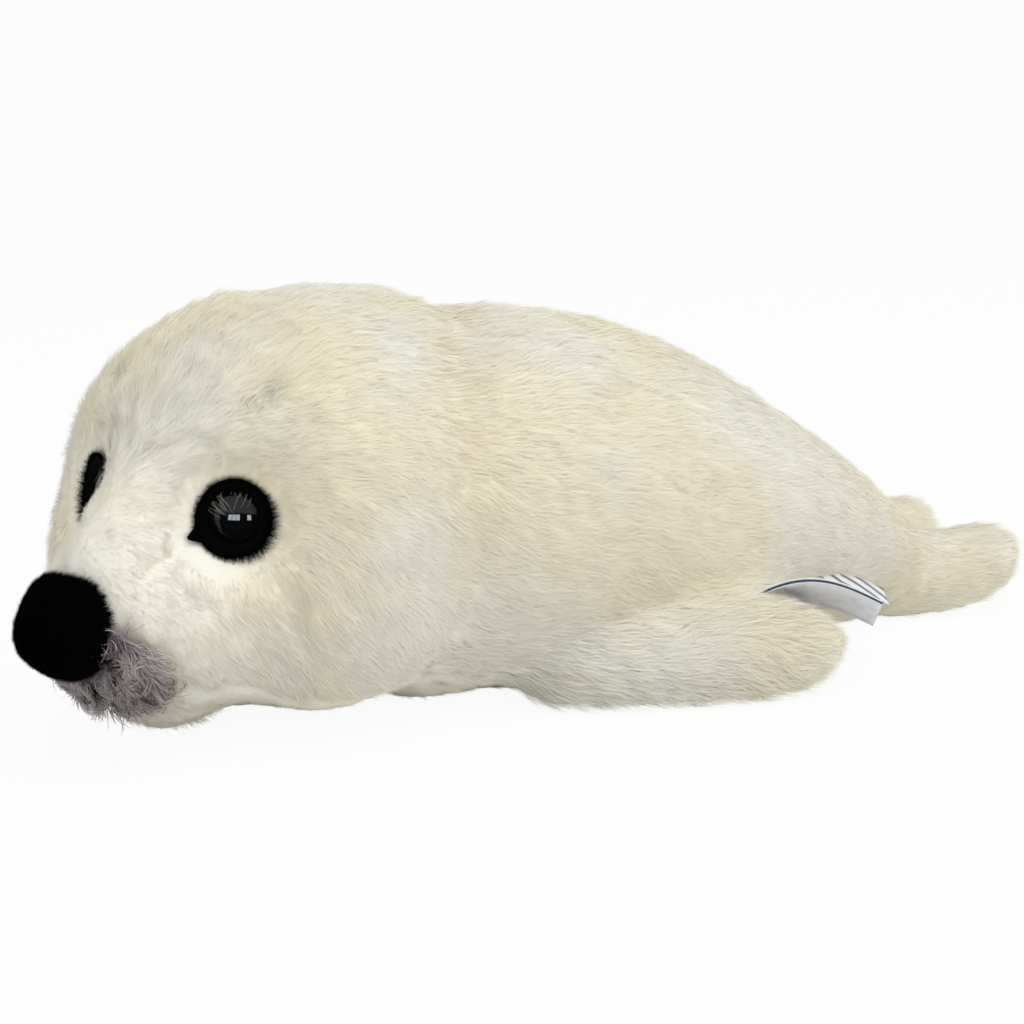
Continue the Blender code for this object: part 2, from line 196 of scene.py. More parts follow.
# %% Head frame
HEAD_TURN = math.radians(24)
HEAD_MIDDLE = np.array([0.0, -0.1026, 0.073])
TO_HEAD = np.array([[math.cos(HEAD_TURN), math.sin(HEAD_TURN), 0],
                    [math.sin(HEAD_TURN), -math.cos(HEAD_TURN), 0],
                    [0, 0, 1]])


def from_head(across, forward, up):
    """A direction of the head's frame as a world one."""
    return np.array([across, forward, up]) @ TO_HEAD


def node_middle(name):
    low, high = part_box(name)
    return (np.array(low) + np.array(high)) / 2


NOSE_MIDDLE = node_middle("nose")
EYE_RADIUS = 0.0115
EYE_AXES = {side: unit(from_head(sign * 0.50, 0.82, 0.20)) for side, sign in (("left", 1), ("right", -1))}


def across_axis(points, middle, axis):
    """How far points lie along an axis through a point, and how far from it."""
    away = points - middle
    height = away @ axis
    return height, np.linalg.norm(away - height[:, None] * axis, axis=1)


def eye_rim(side):
    """The middle of the eye's rim: its points that lie a dome's radius from its axis."""
    points = node_arrays("eye_" + side)[0]
    low = points[np.argmin(points @ EYE_AXES[side])]
    flat = across_axis(points, low, EYE_AXES[side])[1]
    return points[flat > 0.8 * flat.max()].mean(axis=0)


EYE_MIDDLES = {side: eye_rim(side) for side in ("left", "right")}


def face_place(side, across, forward, up):
    """A place given in the head's frame from the cranium's middle, on the seal's left (1) or right (-1)."""
    return HEAD_MIDDLE + from_head(side * across, forward, up)


print("nose at", NOSE_MIDDLE.round(4), "eyes at", [m.round(4) for m in EYE_MIDDLES.values()])

# %% [markdown]
# ## The skin under the pile
# The head, torso and flippers are one sewn cover, so their solids are remeshed into one closed surface. It is then
# set a pile's depth inwards, and the step between the tail and the hind flippers is melted. On the real toy the filling presses on each panel and the seams hold it back. Cloth
# with air pressure does the same here: seams, eyes and the belly are pinned, and the panels swell between them.

# %% Skin as one closed surface
BODY_NODES = ("head", "torso", "front_flipper_left", "front_flipper_right", "hind_flipper_left",
              "hind_flipper_right")
EYE_NODES = ("eye_left", "eye_right", "eye_washer_left", "eye_washer_right", "eye_backing_left",
             "eye_backing_right")
VOXEL = 0.0048
SMOOTHINGS = 7


def calmed(made, turns, group=""):
    """The surface of an object after some turns of smoothing. The object itself is removed."""
    calm = made.modifiers.new("calm", "SMOOTH")
    calm.factor = 0.5
    calm.iterations = turns
    calm.vertex_group = group
    result = evaluated(made)
    bpy.data.objects.remove(made)
    return result


def remeshed(name, nodes, voxel, smoothings):
    """One closed surface of quads around some CAD nodes, smoothed a little."""
    made = linked(name, mesh_from(name, *node_arrays(*nodes)))
    remesh = made.modifiers.new("voxels", "REMESH")
    remesh.mode = "VOXEL"
    remesh.voxel_size = voxel
    return calmed(made, smoothings)


def eased(points, faces, share, turns):
    """A surface smoothed by a share at each point, which melts a step between two solids."""
    made = linked("easing", mesh_from("easing", points, faces))
    group = made.vertex_groups.new(name="eased")
    for i in np.flatnonzero(share > 0.02):
        group.add([int(i)], float(share[i]), "REPLACE")
    return calmed(made, turns, "eased")


TAIL_STEP = (0.120, 0.150, 0.178, 0.200)
TAIL_TURNS = 40
skin_points, skin_normals, skin_faces = remeshed("skin_start", BODY_NODES + EYE_NODES, VOXEL, SMOOTHINGS)
tail_share = (smooth_step(*TAIL_STEP[:2], skin_points[:, 1]) * (1 - smooth_step(*TAIL_STEP[2:], skin_points[:, 1]))
              * smooth_step(0.012, 0.024, skin_points[:, 2]))
skin_points, skin_normals, skin_faces = eased(skin_points, skin_faces, tail_share, TAIL_TURNS)
print("skin:", len(skin_points), "points,", len(skin_faces), "quads")

# %% Which solid each point lies nearest to
ROWS_AT_ONCE = 1500


def nearest(points, cloud):
    """The distance from each point to the nearest one of a cloud, a block of rows at a time."""
    cloud = cloud.astype(np.float32)
    found = []
    for start in range(0, len(points), ROWS_AT_ONCE):
        rows = points[start:start + ROWS_AT_ONCE].astype(np.float32)
        apart = (cloud**2).sum(axis=1) - 2 * rows @ cloud.T
        found.append(apart.min(axis=1) + (rows**2).sum(axis=1))
    return np.sqrt(np.maximum(np.concatenate(found), 0)).astype(float)


def dense_cloud(name):
    """The points of a CAD node with the middles of its triangles."""
    points, faces = node_arrays(name)
    return np.concatenate([points, points[faces].mean(axis=1)])


def body_distances(points):
    return np.stack([nearest(points, dense_cloud(name)) for name in BODY_NODES], axis=1)


coarse_apart = body_distances(skin_points)
near_two = np.sort(coarse_apart, axis=1)
SEAM_WIDTH = 0.006
SEAM_HOLD = 0.45
seam_pull = SEAM_HOLD * (1 - smooth_step(0, SEAM_WIDTH, near_two[:, 1] - near_two[:, 0]))
print("points on seams:", int((seam_pull > SEAM_HOLD / 2).sum()))

# %% Set the skin a pile's depth inwards and let the filling swell it
PILE_DEPTH = 0.0023
FACE_DEPTH = 0.0012
BELLY_DEPTH = 0.0010
SWELL_FRAMES = 20
SWELL_PRESSURE = 4.0
SWELL_CAP = 0.0022


def eye_closeness(points, reach):
    """1 in the middle of an eye and 0 from `reach` away."""
    apart = [np.linalg.norm(points - middle, axis=1) for middle in EYE_MIDDLES.values()]
    return 1 - smooth_step(0.012, reach, np.minimum(*apart))


def pile_depth(points, normals):
    """How far the skin lies under the solids: least at the eyes, the nose and the belly."""
    face = np.maximum(eye_closeness(points, 0.026),
                      1 - smooth_step(0.024, 0.045, np.linalg.norm(points - NOSE_MIDDLE, axis=1)))
    belly = 1 - smooth_step(0.001, 0.012, points[:, 2])
    depth = PILE_DEPTH + (FACE_DEPTH - PILE_DEPTH) * face
    return depth + (BELLY_DEPTH - depth) * belly * (normals[:, 2] < -0.5)


def swollen(points, faces, held):
    """The surface after 20 frames of cloth with pressure inside, each point moved by at most SWELL_CAP."""
    made = linked("swelling", mesh_from("swelling", points, faces))
    group = made.vertex_groups.new(name="held")
    levels = np.round(held * 10) / 10
    for level in np.unique(levels[levels > 0]):
        group.add(np.flatnonzero(levels == level).tolist(), float(level), "REPLACE")
    cloth = made.modifiers.new("filling", "CLOTH")
    settings = cloth.settings
    settings.quality = 5
    settings.mass = 0.3
    settings.tension_stiffness = 12
    settings.compression_stiffness = 12
    settings.shear_stiffness = 5
    settings.bending_stiffness = 0.5
    settings.use_pressure = True
    settings.uniform_pressure_force = SWELL_PRESSURE
    settings.effector_weights.gravity = 0
    settings.vertex_group_mass = "held"
    cloth.collision_settings.use_collision = False
    scene = bpy.context.scene
    for number in range(1, SWELL_FRAMES + 1):
        scene.frame_set(number)
    after = evaluated(made)[0]
    scene.frame_set(1)
    bpy.data.objects.remove(made)
    move = after - points
    length = np.linalg.norm(move, axis=1, keepdims=True)
    print("filling moved the skin by up to", round(1000 * float(length.max()), 1), "mm")
    return points + move * np.minimum(1, SWELL_CAP / np.maximum(length, 1e-9))


inner_points = skin_points - skin_normals * pile_depth(skin_points, skin_normals)[:, None]
on_floor = 1 - smooth_step(0.002, 0.008, inner_points[:, 2])
face_hold = np.maximum(eye_closeness(skin_points, 0.022),
                       1 - smooth_step(0.022, 0.035, np.linalg.norm(skin_points - NOSE_MIDDLE, axis=1)))
held = np.clip(seam_pull + on_floor + face_hold, 0, 1)
swollen_points = swollen(inner_points, skin_faces, held)

# %% [markdown]
# ## One subdivision, then lumps
# The surface is divided once more. The solids have the filling's large lumps already, so only small dimples
# follow. The skin is kept above the floor.

# %% Divide and relieve the skin
DIMPLE_HEIGHT = 0.0004
DIMPLE_SIZE = 0.011
FLOOR_CLEARANCE = 0.0006
SEAT_RADIUS = 0.0150
SEAT_FADE = 0.0195
SEAT_DEPTH = 0.0016
SEAT_LIMIT = 0.006


def give_vectors(obj, name, values):
    attribute = obj.data.attributes.new(name, "FLOAT_VECTOR", "POINT")
    attribute.data.foreach_set("vector", values.astype(np.float32).ravel())


def give_values(obj, name, values):
    attribute = obj.data.attributes.new(name, "FLOAT", "POINT")
    attribute.data.foreach_set("value", values.astype(np.float32))


def divided(name, points, faces, **values):
    """The surface after one Catmull-Clark subdivision, and values of its points that the modifier divides too."""
    made = linked(name, mesh_from(name, points, faces))
    for key, numbers in values.items():
        give_values(made, key, numbers)
    smooth = made.modifiers.new("smooth", "SUBSURF")
    smooth.levels = 1
    smooth.render_levels = 1
    result = evaluated(made)
    mesh = made.evaluated_get(bpy.context.evaluated_depsgraph_get()).data
    fine = [read_vectors(mesh.attributes[key].data, "value", 1)[:, 0] for key in values]
    bpy.data.objects.remove(made)
    return result, fine


def tree_of(*names):
    points, faces = node_arrays(*names)
    return BVHTree.FromPolygons(points.tolist(), faces.tolist())


def heights_on(tree, points, middle, axis):
    """How high over the middle the tree's surface lies under each point, looking down the axis."""
    hits = [tree.ray_cast(Vector(point + 0.03 * axis), Vector(-axis))[0] for point in points]
    return np.array([-SEAT_LIMIT if hit is None else (np.array(hit) - middle) @ axis for hit in hits])


def path_distance(points, path):
    """The distance from each point to a path of straight stretches."""
    least = np.full(len(points), np.inf)
    for start, end in zip(path[:-1], path[1:]):
        way = end - start
        share = np.clip((points - start) @ way / (way @ way), 0, 1)
        least = np.minimum(least, np.linalg.norm(points - start - share[:, None] * way, axis=1))
    return least


near_body = {name: coarse_apart[:, i] for i, name in enumerate(BODY_NODES)}
(points, normals, faces), apart = divided("skin_fine", swollen_points, skin_faces, **near_body)
apart = np.stack(apart, axis=1)
free = 1 - eye_closeness(points, 0.024)
dimples = DIMPLE_HEIGHT * drift(points, DIMPLE_SIZE, 12)
points = points + normals * (dimples * free)[:, None]
head_tree = tree_of("head")
for side, middle in EYE_MIDDLES.items():
    axis = EYE_AXES[side]
    height, flat = across_axis(points, middle, axis)
    under = np.flatnonzero((flat < SEAT_FADE) & (abs(height) < 0.03))
    goal = np.maximum(heights_on(head_tree, points[under], middle, axis) - SEAT_DEPTH, -SEAT_LIMIT)
    share = 1 - smooth_step(SEAT_RADIUS, SEAT_FADE, flat[under])
    points[under] -= (share * np.maximum(height[under] - goal, 0))[:, None] * axis

# %% Seams and creases of the face
# Each crease is carved into the skin and tinted tan by its last field: painted shade in the crease.
Crease = namedtuple("Crease", "path width depth stain")
CREASES = {
    "eye corner seam": Crease(((0.0255, 0.0619, 0.0018), (0.0229, 0.0694, -0.0011), (0.0208, 0.0780, -0.0046),
                               (0.0204, 0.0831, -0.0086)), 0.0024, 0.0016, 0.60),
    "bridge edge": Crease(((0.0000, 0.0640, 0.0275), (0.0126, 0.0592, 0.0307), (0.0240, 0.0541, 0.0320),
                           (0.0302, 0.0512, 0.0224)), 0.0032, 0.0010, 0.12),
    "cheek crease": Crease(((0.0552, 0.0549, -0.0108), (0.0596, 0.0551, -0.0182), (0.0619, 0.0541, -0.0247),
                            (0.0633, 0.0503, -0.0354)), 0.0050, 0.0018, 0.15),
}
FLIPPER_CREASE = Crease(((0.0733, -0.0280, 0.0295), (0.0775, -0.0147, 0.0359), (0.0772, -0.0026, 0.0370)),
                        0.0026, 0.0014, 0.30)
# Painted shade: the pile is tinted tan along the neck seam, around the eye seats and low on the head and torso,
# where shade falls.
NECK_SHADE = 0.18
NECK_WIDTH = 0.005
EYE_SHADE = 0.20
LOW_SHADE = 0.16
LOW_HEIGHTS = (0.025, 0.100)

neck = np.exp(-((apart[:, 0] - apart[:, 1]) / NECK_WIDTH)**2) * (apart[:, 0] < 0.02)
stain = NECK_SHADE * neck * smooth_step(0.02, 0.05, points[:, 2])
stain = np.maximum(stain, EYE_SHADE * eye_closeness(points, 0.030))
low = 1 - smooth_step(*LOW_HEIGHTS, points[:, 2])
stain = np.maximum(stain, LOW_SHADE * low * smooth_step(0.001, 0.006, apart[:, 2:].min(axis=1)))
runs = [(crease, np.array([face_place(sign, *place) for place in crease.path]))
        for crease in CREASES.values() for sign in (1, -1)]
runs += [(FLIPPER_CREASE, np.array(FLIPPER_CREASE.path) * [sign, 1, 1]) for sign in (1, -1)]
# The tan of the creases is painted shade. It joins the neck, eye and low shade and the stains of the tail and
# flippers in one value.
carved = np.zeros(len(points))
for crease, path in runs:
    share = np.exp(-(path_distance(points, path) / crease.width)**2)
    points -= normals * (crease.depth * share)[:, None]
    carved = np.maximum(carved, crease.stain * share)
stain = np.maximum(stain, carved)
print("points in creases:", int((stain > 0.05).sum()))
points[:, 2] = np.maximum(points[:, 2], FLOOR_CLEARANCE)
skin = linked("sewn_skin", mesh_from("sewn_skin", points, faces))
points, normals, faces = evaluated(skin)
print("fine skin:", len(points), "points,", 2 * len(faces), "triangles")

# %% [markdown]
# ## How the pile lies
# Every hair leans the way it was brushed. On the head it leans away from the nose, back and down. On the torso it
# leans to the tail, and on a flipper along it. The flow is projected onto the skin, and a drift turns it a little,
# so that it never looks combed by machine.

# %% The flow over the skin
closest = np.argmin(apart, axis=1)
HEAD_BACK = 0.45
HEAD_FALLS = (1.4, 0.4)
FALL_HEIGHTS = (0.055, 0.125)
TORSO_FALL = 0.20
FLIPPER_SPLAY = math.radians(17)
HIND_SPLAY = math.radians(11)
FLOW_BLEND = 0.016
FLOW_TURN = 0.16
FLOW_SIZE = 0.045
RUFFLE_TURN = 0.07
RUFFLE_SIZE = 0.014


def along(splay, side):
    """Backwards along a flipper that is splayed to one side."""
    return np.array([side * math.sin(splay), math.cos(splay), -0.05])


def flow_of(points, normals, apart):
    """The lean of the pile: each solid's own direction, weighted by exp(-distance / FLOW_BLEND), on the skin."""
    from_nose = unit(points - NOSE_MIDDLE)
    fall = HEAD_FALLS[0] + (HEAD_FALLS[1] - HEAD_FALLS[0]) * smooth_step(*FALL_HEIGHTS, points[:, 2])
    ways = [[0, 1, -TORSO_FALL]]
    ways += [along(splay, side) for splay in (FLIPPER_SPLAY, HIND_SPLAY) for side in (1, -1)]
    streams = [from_nose + np.outer(fall, [0, 0, -1]) + [0, HEAD_BACK, 0]]
    streams += [np.tile(way, (len(points), 1)) for way in ways]
    weights = np.exp(-apart / FLOW_BLEND)
    flow = sum(weights[:, [i]] * unit(stream) for i, stream in enumerate(streams))
    flow = unit(flow) + FLOW_TURN * drift_vectors(points, FLOW_SIZE, 21)
    flow += RUFFLE_TURN * drift_vectors(points, RUFFLE_SIZE, 31)
    for middle in EYE_MIDDLES.values():
        away = points - middle
        near = 1 - smooth_step(0.012, 0.030, np.linalg.norm(away, axis=1, keepdims=True))
        flow += 3 * near * unit(away)
    return unit(flow - normals * dot(flow, normals))


flow = flow_of(points, normals, apart)
print("nearest solids:", {name: int((closest == i).sum()) for i, name in enumerate(BODY_NODES)})

# %% [markdown]
# ## How long the pile is, where it is stained and where shade is painted
# The pile is clipped short around the eyes and on the muzzle, is full on the cheeks and the back, and is longest
# on the front flippers. Under the belly it is pressed flat. It is yellower on the flippers and at the tail, and
# smoky at the brow marks. The tan in the seams and creases is painted shade.

# %% Length, density and stains of the pile over the skin
MUZZLE_PILE = 0.0045
EYE_PILE = 0.0030
HEAD_PILE = 0.0085
TORSO_PILE = 0.0105
FLIPPER_PILE = 0.0125
HIND_PILE = 0.0085
CREASE_SHORTENING = 0.5
LEAST_BELLY_NORMAL = -0.75
BROW_PLACE = (0.0340, 0.0385, 0.0462)
BROW_REACH = 0.0038
BROW_SMOKE = 0.40
TAIL_PLACE = (0.041, 0.1726, 0.032)
TAIL_REACH = 0.018
TAIL_STAIN = 0.15
FLIPPER_STAIN = 0.02
FELT_RIM = 0.0010


def pile_length(points, closest):
    """Each solid's own length, shorter towards the nose and the eyes."""
    own = np.array([HEAD_PILE, TORSO_PILE, FLIPPER_PILE, FLIPPER_PILE, HIND_PILE, HIND_PILE])[closest]
    muzzle = 1 - smooth_step(0.025, 0.075, np.linalg.norm(points - NOSE_MIDDLE, axis=1))
    own = own + (MUZZLE_PILE - own) * muzzle
    return own + (EYE_PILE - own) * eye_closeness(points, 0.032)


def bald(points):
    """True where the nose, the mouth patch, an eye or its felt sits."""
    covered = nearest(points, dense_cloud("nose")) < 0.0022
    covered |= nearest(points, dense_cloud("mouth_patch")) < 0.0010
    for side, middle in EYE_MIDDLES.items():
        height, flat = across_axis(points, middle, EYE_AXES[side])
        covered |= (flat < EYE_RADIUS + FELT_RIM) & (abs(height) < 0.03)
    return covered


def spot(points, place, reach):
    """A soft round spot: exp(-(distance / reach)^2)."""
    return np.exp(-(np.linalg.norm(points - place, axis=1) / reach)**2)


smoke = np.zeros(len(points))
for sign in (1, -1):
    smoke += BROW_SMOKE * spot(points, face_place(sign, *BROW_PLACE), BROW_REACH)
    tail = np.array(TAIL_PLACE) * [sign, 1, 1]
    stain = np.maximum(stain, TAIL_STAIN * spot(points, tail, TAIL_REACH))
stain = np.maximum(stain, FLIPPER_STAIN * np.isin(closest, (2, 3)))
belly = normals[:, 2] < LEAST_BELLY_NORMAL
density = np.where(bald(points), 0, np.where(belly, 0.15, 1.0))
length = pile_length(points, closest) * (1 - CREASE_SHORTENING * np.minimum(1, 2 * carved * (closest == 0)))
length = np.where(belly, 0.5 * length, length)
print("pile from", round(1000 * float(length.min()), 1), "to", round(1000 * float(length.max()), 1), "mm")

# %% [markdown]
# ## Hairs as real strips
# A hair is a strip: two points at each place along it, and one at its tip. All hairs of a region share one mesh.
# Hairs in the same small cell lean and curl together, and close up towards its middle, which makes the locks of
# the real pile. A strip would shade as a sliver of card, so it borrows the skin's normal at its root.

# %% Growing hairs
LOCK_SIZE = 0.0045
LOCK_WARP = 0.0030
LOCK_KEYS = 65521
LOCK_SEED = 41
ROOT_SINK = 0.0004
TWIST = math.radians(35)
NORMAL_SPREAD = 0.06
LEAST_HEIGHT = 0.0002

Cover = namedtuple("Cover", "points normals faces flow length density stain smoke facing")
Style = namedtuple("Style", "width places root_lift tip_lift spread lock_spread clump curl bend")


def scattered(cover, region, count, random):
    """Random places on a cover's quads, each split in two: their corners and weights, by area and density."""
    split = np.concatenate([cover.faces[:, [0, 1, 2]], cover.faces[:, [0, 2, 3]]])
    corners = cover.points[split]
    area = np.linalg.norm(np.cross(corners[:, 1] - corners[:, 0], corners[:, 2] - corners[:, 0]), axis=1)
    chance = area * (cover.density * region)[split].mean(axis=1)
    chosen = random.choice(len(split), count, p=chance / chance.sum())
    u, v = random.random((2, count))
    over = u + v > 1
    u, v = np.where(over, 1 - u, u), np.where(over, 1 - v, v)
    return split[chosen], np.stack([1 - u - v, u, v], axis=1)


def at(corners, weights, values):
    """Values of the cover's points read at places inside its triangles."""
    return np.einsum("ij,ij...->i...", weights, values[corners])


def locks(roots):
    """Four random numbers for each warped cell, so that neighbours share them, and the way to its middle."""
    warped = roots + LOCK_WARP * drift_vectors(roots, 2.5 * LOCK_SIZE, LOCK_SEED)
    cells = np.floor(warped / LOCK_SIZE)
    keys = (cells.astype(np.int64) * [73856093, 19349663, 83492791]).sum(axis=1) % LOCK_KEYS
    shared = np.random.default_rng(LOCK_SEED).normal(size=(LOCK_KEYS, 4))[keys]
    return shared, (cells + 0.5) * LOCK_SIZE - warped


def spines(roots, normals, lean, length, lifts, turns):
    """Places along hairs: equal steps, each lifted off the skin by lifts and turned on it by turns."""
    side = np.cross(normals, lean)[:, None, :]
    lifts, turns = lifts[:, :, None], turns[:, :, None]
    steps = np.cos(lifts) * (np.cos(turns) * lean[:, None, :] + np.sin(turns) * side)
    steps = (steps + np.sin(lifts) * normals[:, None, :]) * (length / lifts.shape[1])[:, None, None]
    start = (roots - ROOT_SINK * normals)[:, None, :]
    return np.concatenate([start, start + np.cumsum(steps, axis=1)], axis=1)


def strips(name, spine, edge, facing, **values):
    """Hairs as one mesh of strips along their spines. Every value is one number for each hair."""
    count, places = spine.shape[:2]
    taper = np.linspace(1, 0.6, places - 1)[None, :, None]
    pairs = np.stack([spine[:, :-1] - taper * edge[:, None, :], spine[:, :-1] + taper * edge[:, None, :]], axis=2)
    rows = np.concatenate([pairs.reshape(count, -1, 3), spine[:, -1:]], axis=1)
    rows[:, :, 2] = np.maximum(rows[:, :, 2], LEAST_HEIGHT)
    each = 2 * places - 1
    turn = [[2 * i + corner for corner in corners]
            for i in range(places - 2) for corners in ((0, 3, 1), (0, 2, 3))]
    turn.append([each - 3, each - 1, each - 2])
    corners = np.arange(count)[:, None, None] * each + np.array(turn)[None, :, :]
    made = linked(name, mesh_from(name, rows.reshape(-1, 3), corners.reshape(-1, 3)))
    give_vectors(made, "custom_normal", np.repeat(facing, each, axis=0))
    heights = np.append(np.repeat(np.arange(places - 1), 2), places - 1) / (places - 1)
    give_values(made, "height", np.tile(heights, count))
    for key, numbers in values.items():
        give_values(made, key, np.repeat(numbers, each))
    return made


def grown(name, cover, region, count, seed, style):
    """Hairs of one style on a region of a cover."""
    random = np.random.default_rng(seed)
    corners, weights = scattered(cover, region, count, random)
    roots = at(corners, weights, cover.points)
    normals = unit(at(corners, weights, cover.normals))
    shared, to_middle = locks(roots)
    lean = unit(at(corners, weights, cover.flow)) + style.spread * random.normal(size=(count, 3))
    lean += style.lock_spread * shared[:, :3]
    lean = unit(lean - normals * dot(lean, normals))
    steps = style.places - 1
    lifts = np.linspace(style.root_lift, style.tip_lift, steps) * random.uniform(0.6, 1.4, (count, 1))
    turns = style.curl * shared[:, 3:] + style.bend * random.normal(size=(count, 1))
    length = at(corners, weights, cover.length) * random.uniform(0.72, 1.18, count)
    spine = spines(roots, normals, lean, length, lifts, turns * np.linspace(0, 1, steps))
    to_middle -= normals * dot(to_middle, normals)
    spine += style.clump * np.linspace(0, 1, style.places)[None, :, None] * to_middle[:, None, :]
    twist = random.uniform(-TWIST, TWIST, (count, 1))
    edge = np.cross(normals, lean) * np.cos(twist) + normals * np.sin(twist)
    edge *= style.width / 2 * random.uniform(0.7, 1.3, (count, 1))
    facing = unit(at(corners, weights, cover.facing) + NORMAL_SPREAD * random.normal(size=(count, 3)))
    return strips(name, spine, edge, facing, tint=random.random(count), stain=at(corners, weights, cover.stain),
                  smoke=at(corners, weights, cover.smoke))


# %% The white pile, region by region
LONG_PILE = Style(width=0.00020, places=3, root_lift=0.31, tip_lift=0.06, spread=0.20, lock_spread=0.05,
                  clump=0.04, curl=0.0, bend=0.10)
FLUFF_LIGHT = 0.5
on_flipper = 1 - smooth_step(0, 0.006, apart[:, 2:4].min(axis=1) - apart[:, [0, 1, 4, 5]].min(axis=1))
facing = unit(normals + FLUFF_LIGHT * np.outer(on_flipper, [0, 0, 1]))
body = Cover(points, normals, faces, flow, length, density, stain, smoke, facing)
LEFT_HALF = smooth_step(-0.001, 0.001, points[:, 0])
IS_HEAD, IS_TORSO, IS_FRONT_LEFT, IS_FRONT_RIGHT, IS_HIND_LEFT, IS_HIND_RIGHT = (
    (closest == i).astype(float) for i in range(len(BODY_NODES)))
PILE = {
    "head_pile_left": (IS_HEAD * LEFT_HALF, 64000),
    "head_pile_right": (IS_HEAD * (1 - LEFT_HALF), 42000),
    "torso_pile_left": (IS_TORSO * LEFT_HALF, 60000),
    "torso_pile_right": (IS_TORSO * (1 - LEFT_HALF), 40000),
    "front_flipper_pile_left": (IS_FRONT_LEFT, 18000),
    "front_flipper_pile_right": (IS_FRONT_RIGHT, 12000),
    "hind_flipper_pile_left": (IS_HIND_LEFT, 10000),
    "hind_flipper_pile_right": (IS_HIND_RIGHT, 9000),
}
white_pile = [grown(name, body, region, count, 100 + i, LONG_PILE)
              for i, (name, (region, count)) in enumerate(PILE.items())]
print("white hairs:", sum(count for _, count in PILE.values()))

# %% [markdown]
# ## The nose and the mouth patch
# The nose is velour: short black hairs that lie back from its middle. The patch beside and under it is longer
# pile in curly locks, which fall away from the nose.

# %% Nose and mouth covers
NOSE_VOXEL = 0.0016
MOUTH_VOXEL = 0.0020
VELOUR_DEPTH = 0.0004
VELOUR_PILE = 0.0024
RIM_LONGER = 0.7
VELOUR_HAIRS = 24000
CURL_PILE = 0.0062
CURL_DEPTH = 0.0008
CURLS = 4200
VELOUR = Style(width=0.00026, places=2, root_lift=0.50, tip_lift=0.50, spread=0.45, lock_spread=0.12, clump=0.0,
               curl=0.0, bend=0.0)
CURLY = Style(width=0.00034, places=6, root_lift=0.75, tip_lift=-0.25, spread=0.16, lock_spread=0.50, clump=0.65,
              curl=1.70, bend=0.35)


def short_cover(name, node, voxel, depth, length, fall):
    """A cover on one node's remeshed surface, sunk by a depth, whose pile lies away from the nose's front."""
    points, normals, faces = remeshed(name + "_start", (node,), voxel, 2)
    points = points - depth * normals
    base = linked(name, mesh_from(name, points, faces))
    points, normals, faces = evaluated(base)
    front = NOSE_MIDDLE + from_head(0, 0.030, 0)
    flow = unit(points - front) + [0, 0, -fall]
    flow = unit(flow - normals * dot(flow, normals))
    nothing = np.zeros(len(points))
    at_rim = 1 - smooth_step(-0.008, 0.006, (points - NOSE_MIDDLE) @ from_head(0, 1, 0))
    lengths = length * (1 + RIM_LONGER * at_rim)
    return base, Cover(points, normals, faces, flow, lengths, nothing + 1, nothing, nothing, normals)


nose_base, nose_cover = short_cover("nose_base", "nose", NOSE_VOXEL, VELOUR_DEPTH, VELOUR_PILE, 0.0)
mouth_base, mouth_cover = short_cover("mouth_base", "mouth_patch", MOUTH_VOXEL, CURL_DEPTH, CURL_PILE, 0.7)
facing_out = smooth_step(-0.2, 0.2, dot(mouth_cover.normals, unit(mouth_cover.points - HEAD_MIDDLE))[:, 0])
nose_velour = grown("nose_velour", nose_cover, np.ones(len(nose_cover.points)), VELOUR_HAIRS, 201, VELOUR)
mouth_curls = grown("mouth_curls", mouth_cover, facing_out, CURLS, 202, CURLY)
print("velour hairs:", VELOUR_HAIRS, "curls:", CURLS)

# %% [markdown]
# ## The eyes
# An eye is a polished dome on a stem, in a narrow felt ring that is drawn to a point at the inner corner. Black
# hairs stand out from the felt, longest at the outer corner. A few white hairs lie over the dome's upper edge.

# %% Domes
DOME_HEIGHT = 0.0080
DOME_RIM = 0.0012
STEM_RADIUS = 0.0022
STEM_LENGTH = 0.0150
DOME_AROUND = 72
DOME_RINGS = 16


def eye_frame(side):
    """The middle of an eye's back, its axis, and the directions to its outer corner and up."""
    axis = EYE_AXES[side]
    points = node_arrays("eye_" + side)[0]
    back = points[np.argmax(points @ axis)] - (DOME_HEIGHT + DOME_RIM) * axis
    level = unit(np.cross([0, 0, 1], axis))
    return back, axis, level * (1 if side == "left" else -1), np.cross(axis, level)


def dome_height(radius):
    """The dome's height over the eye's back: an ellipse on its rim."""
    return DOME_RIM + DOME_HEIGHT * np.sqrt(1 - np.clip(radius / EYE_RADIUS, 0, 1)**2)


def ring_quads(rings, count):
    """Quads between rings of `count` points each."""
    around = np.arange(count)
    after = (around + 1) % count
    strip = np.stack([around, after, after + count, around + count], axis=1)
    return (np.arange(rings - 1)[:, None, None] * count + strip).reshape(-1, 4)


def ways_at(angles, level, up):
    """Directions from an axis: cos a level + sin a up."""
    return np.outer(np.cos(angles), level) + np.outer(np.sin(angles), up)


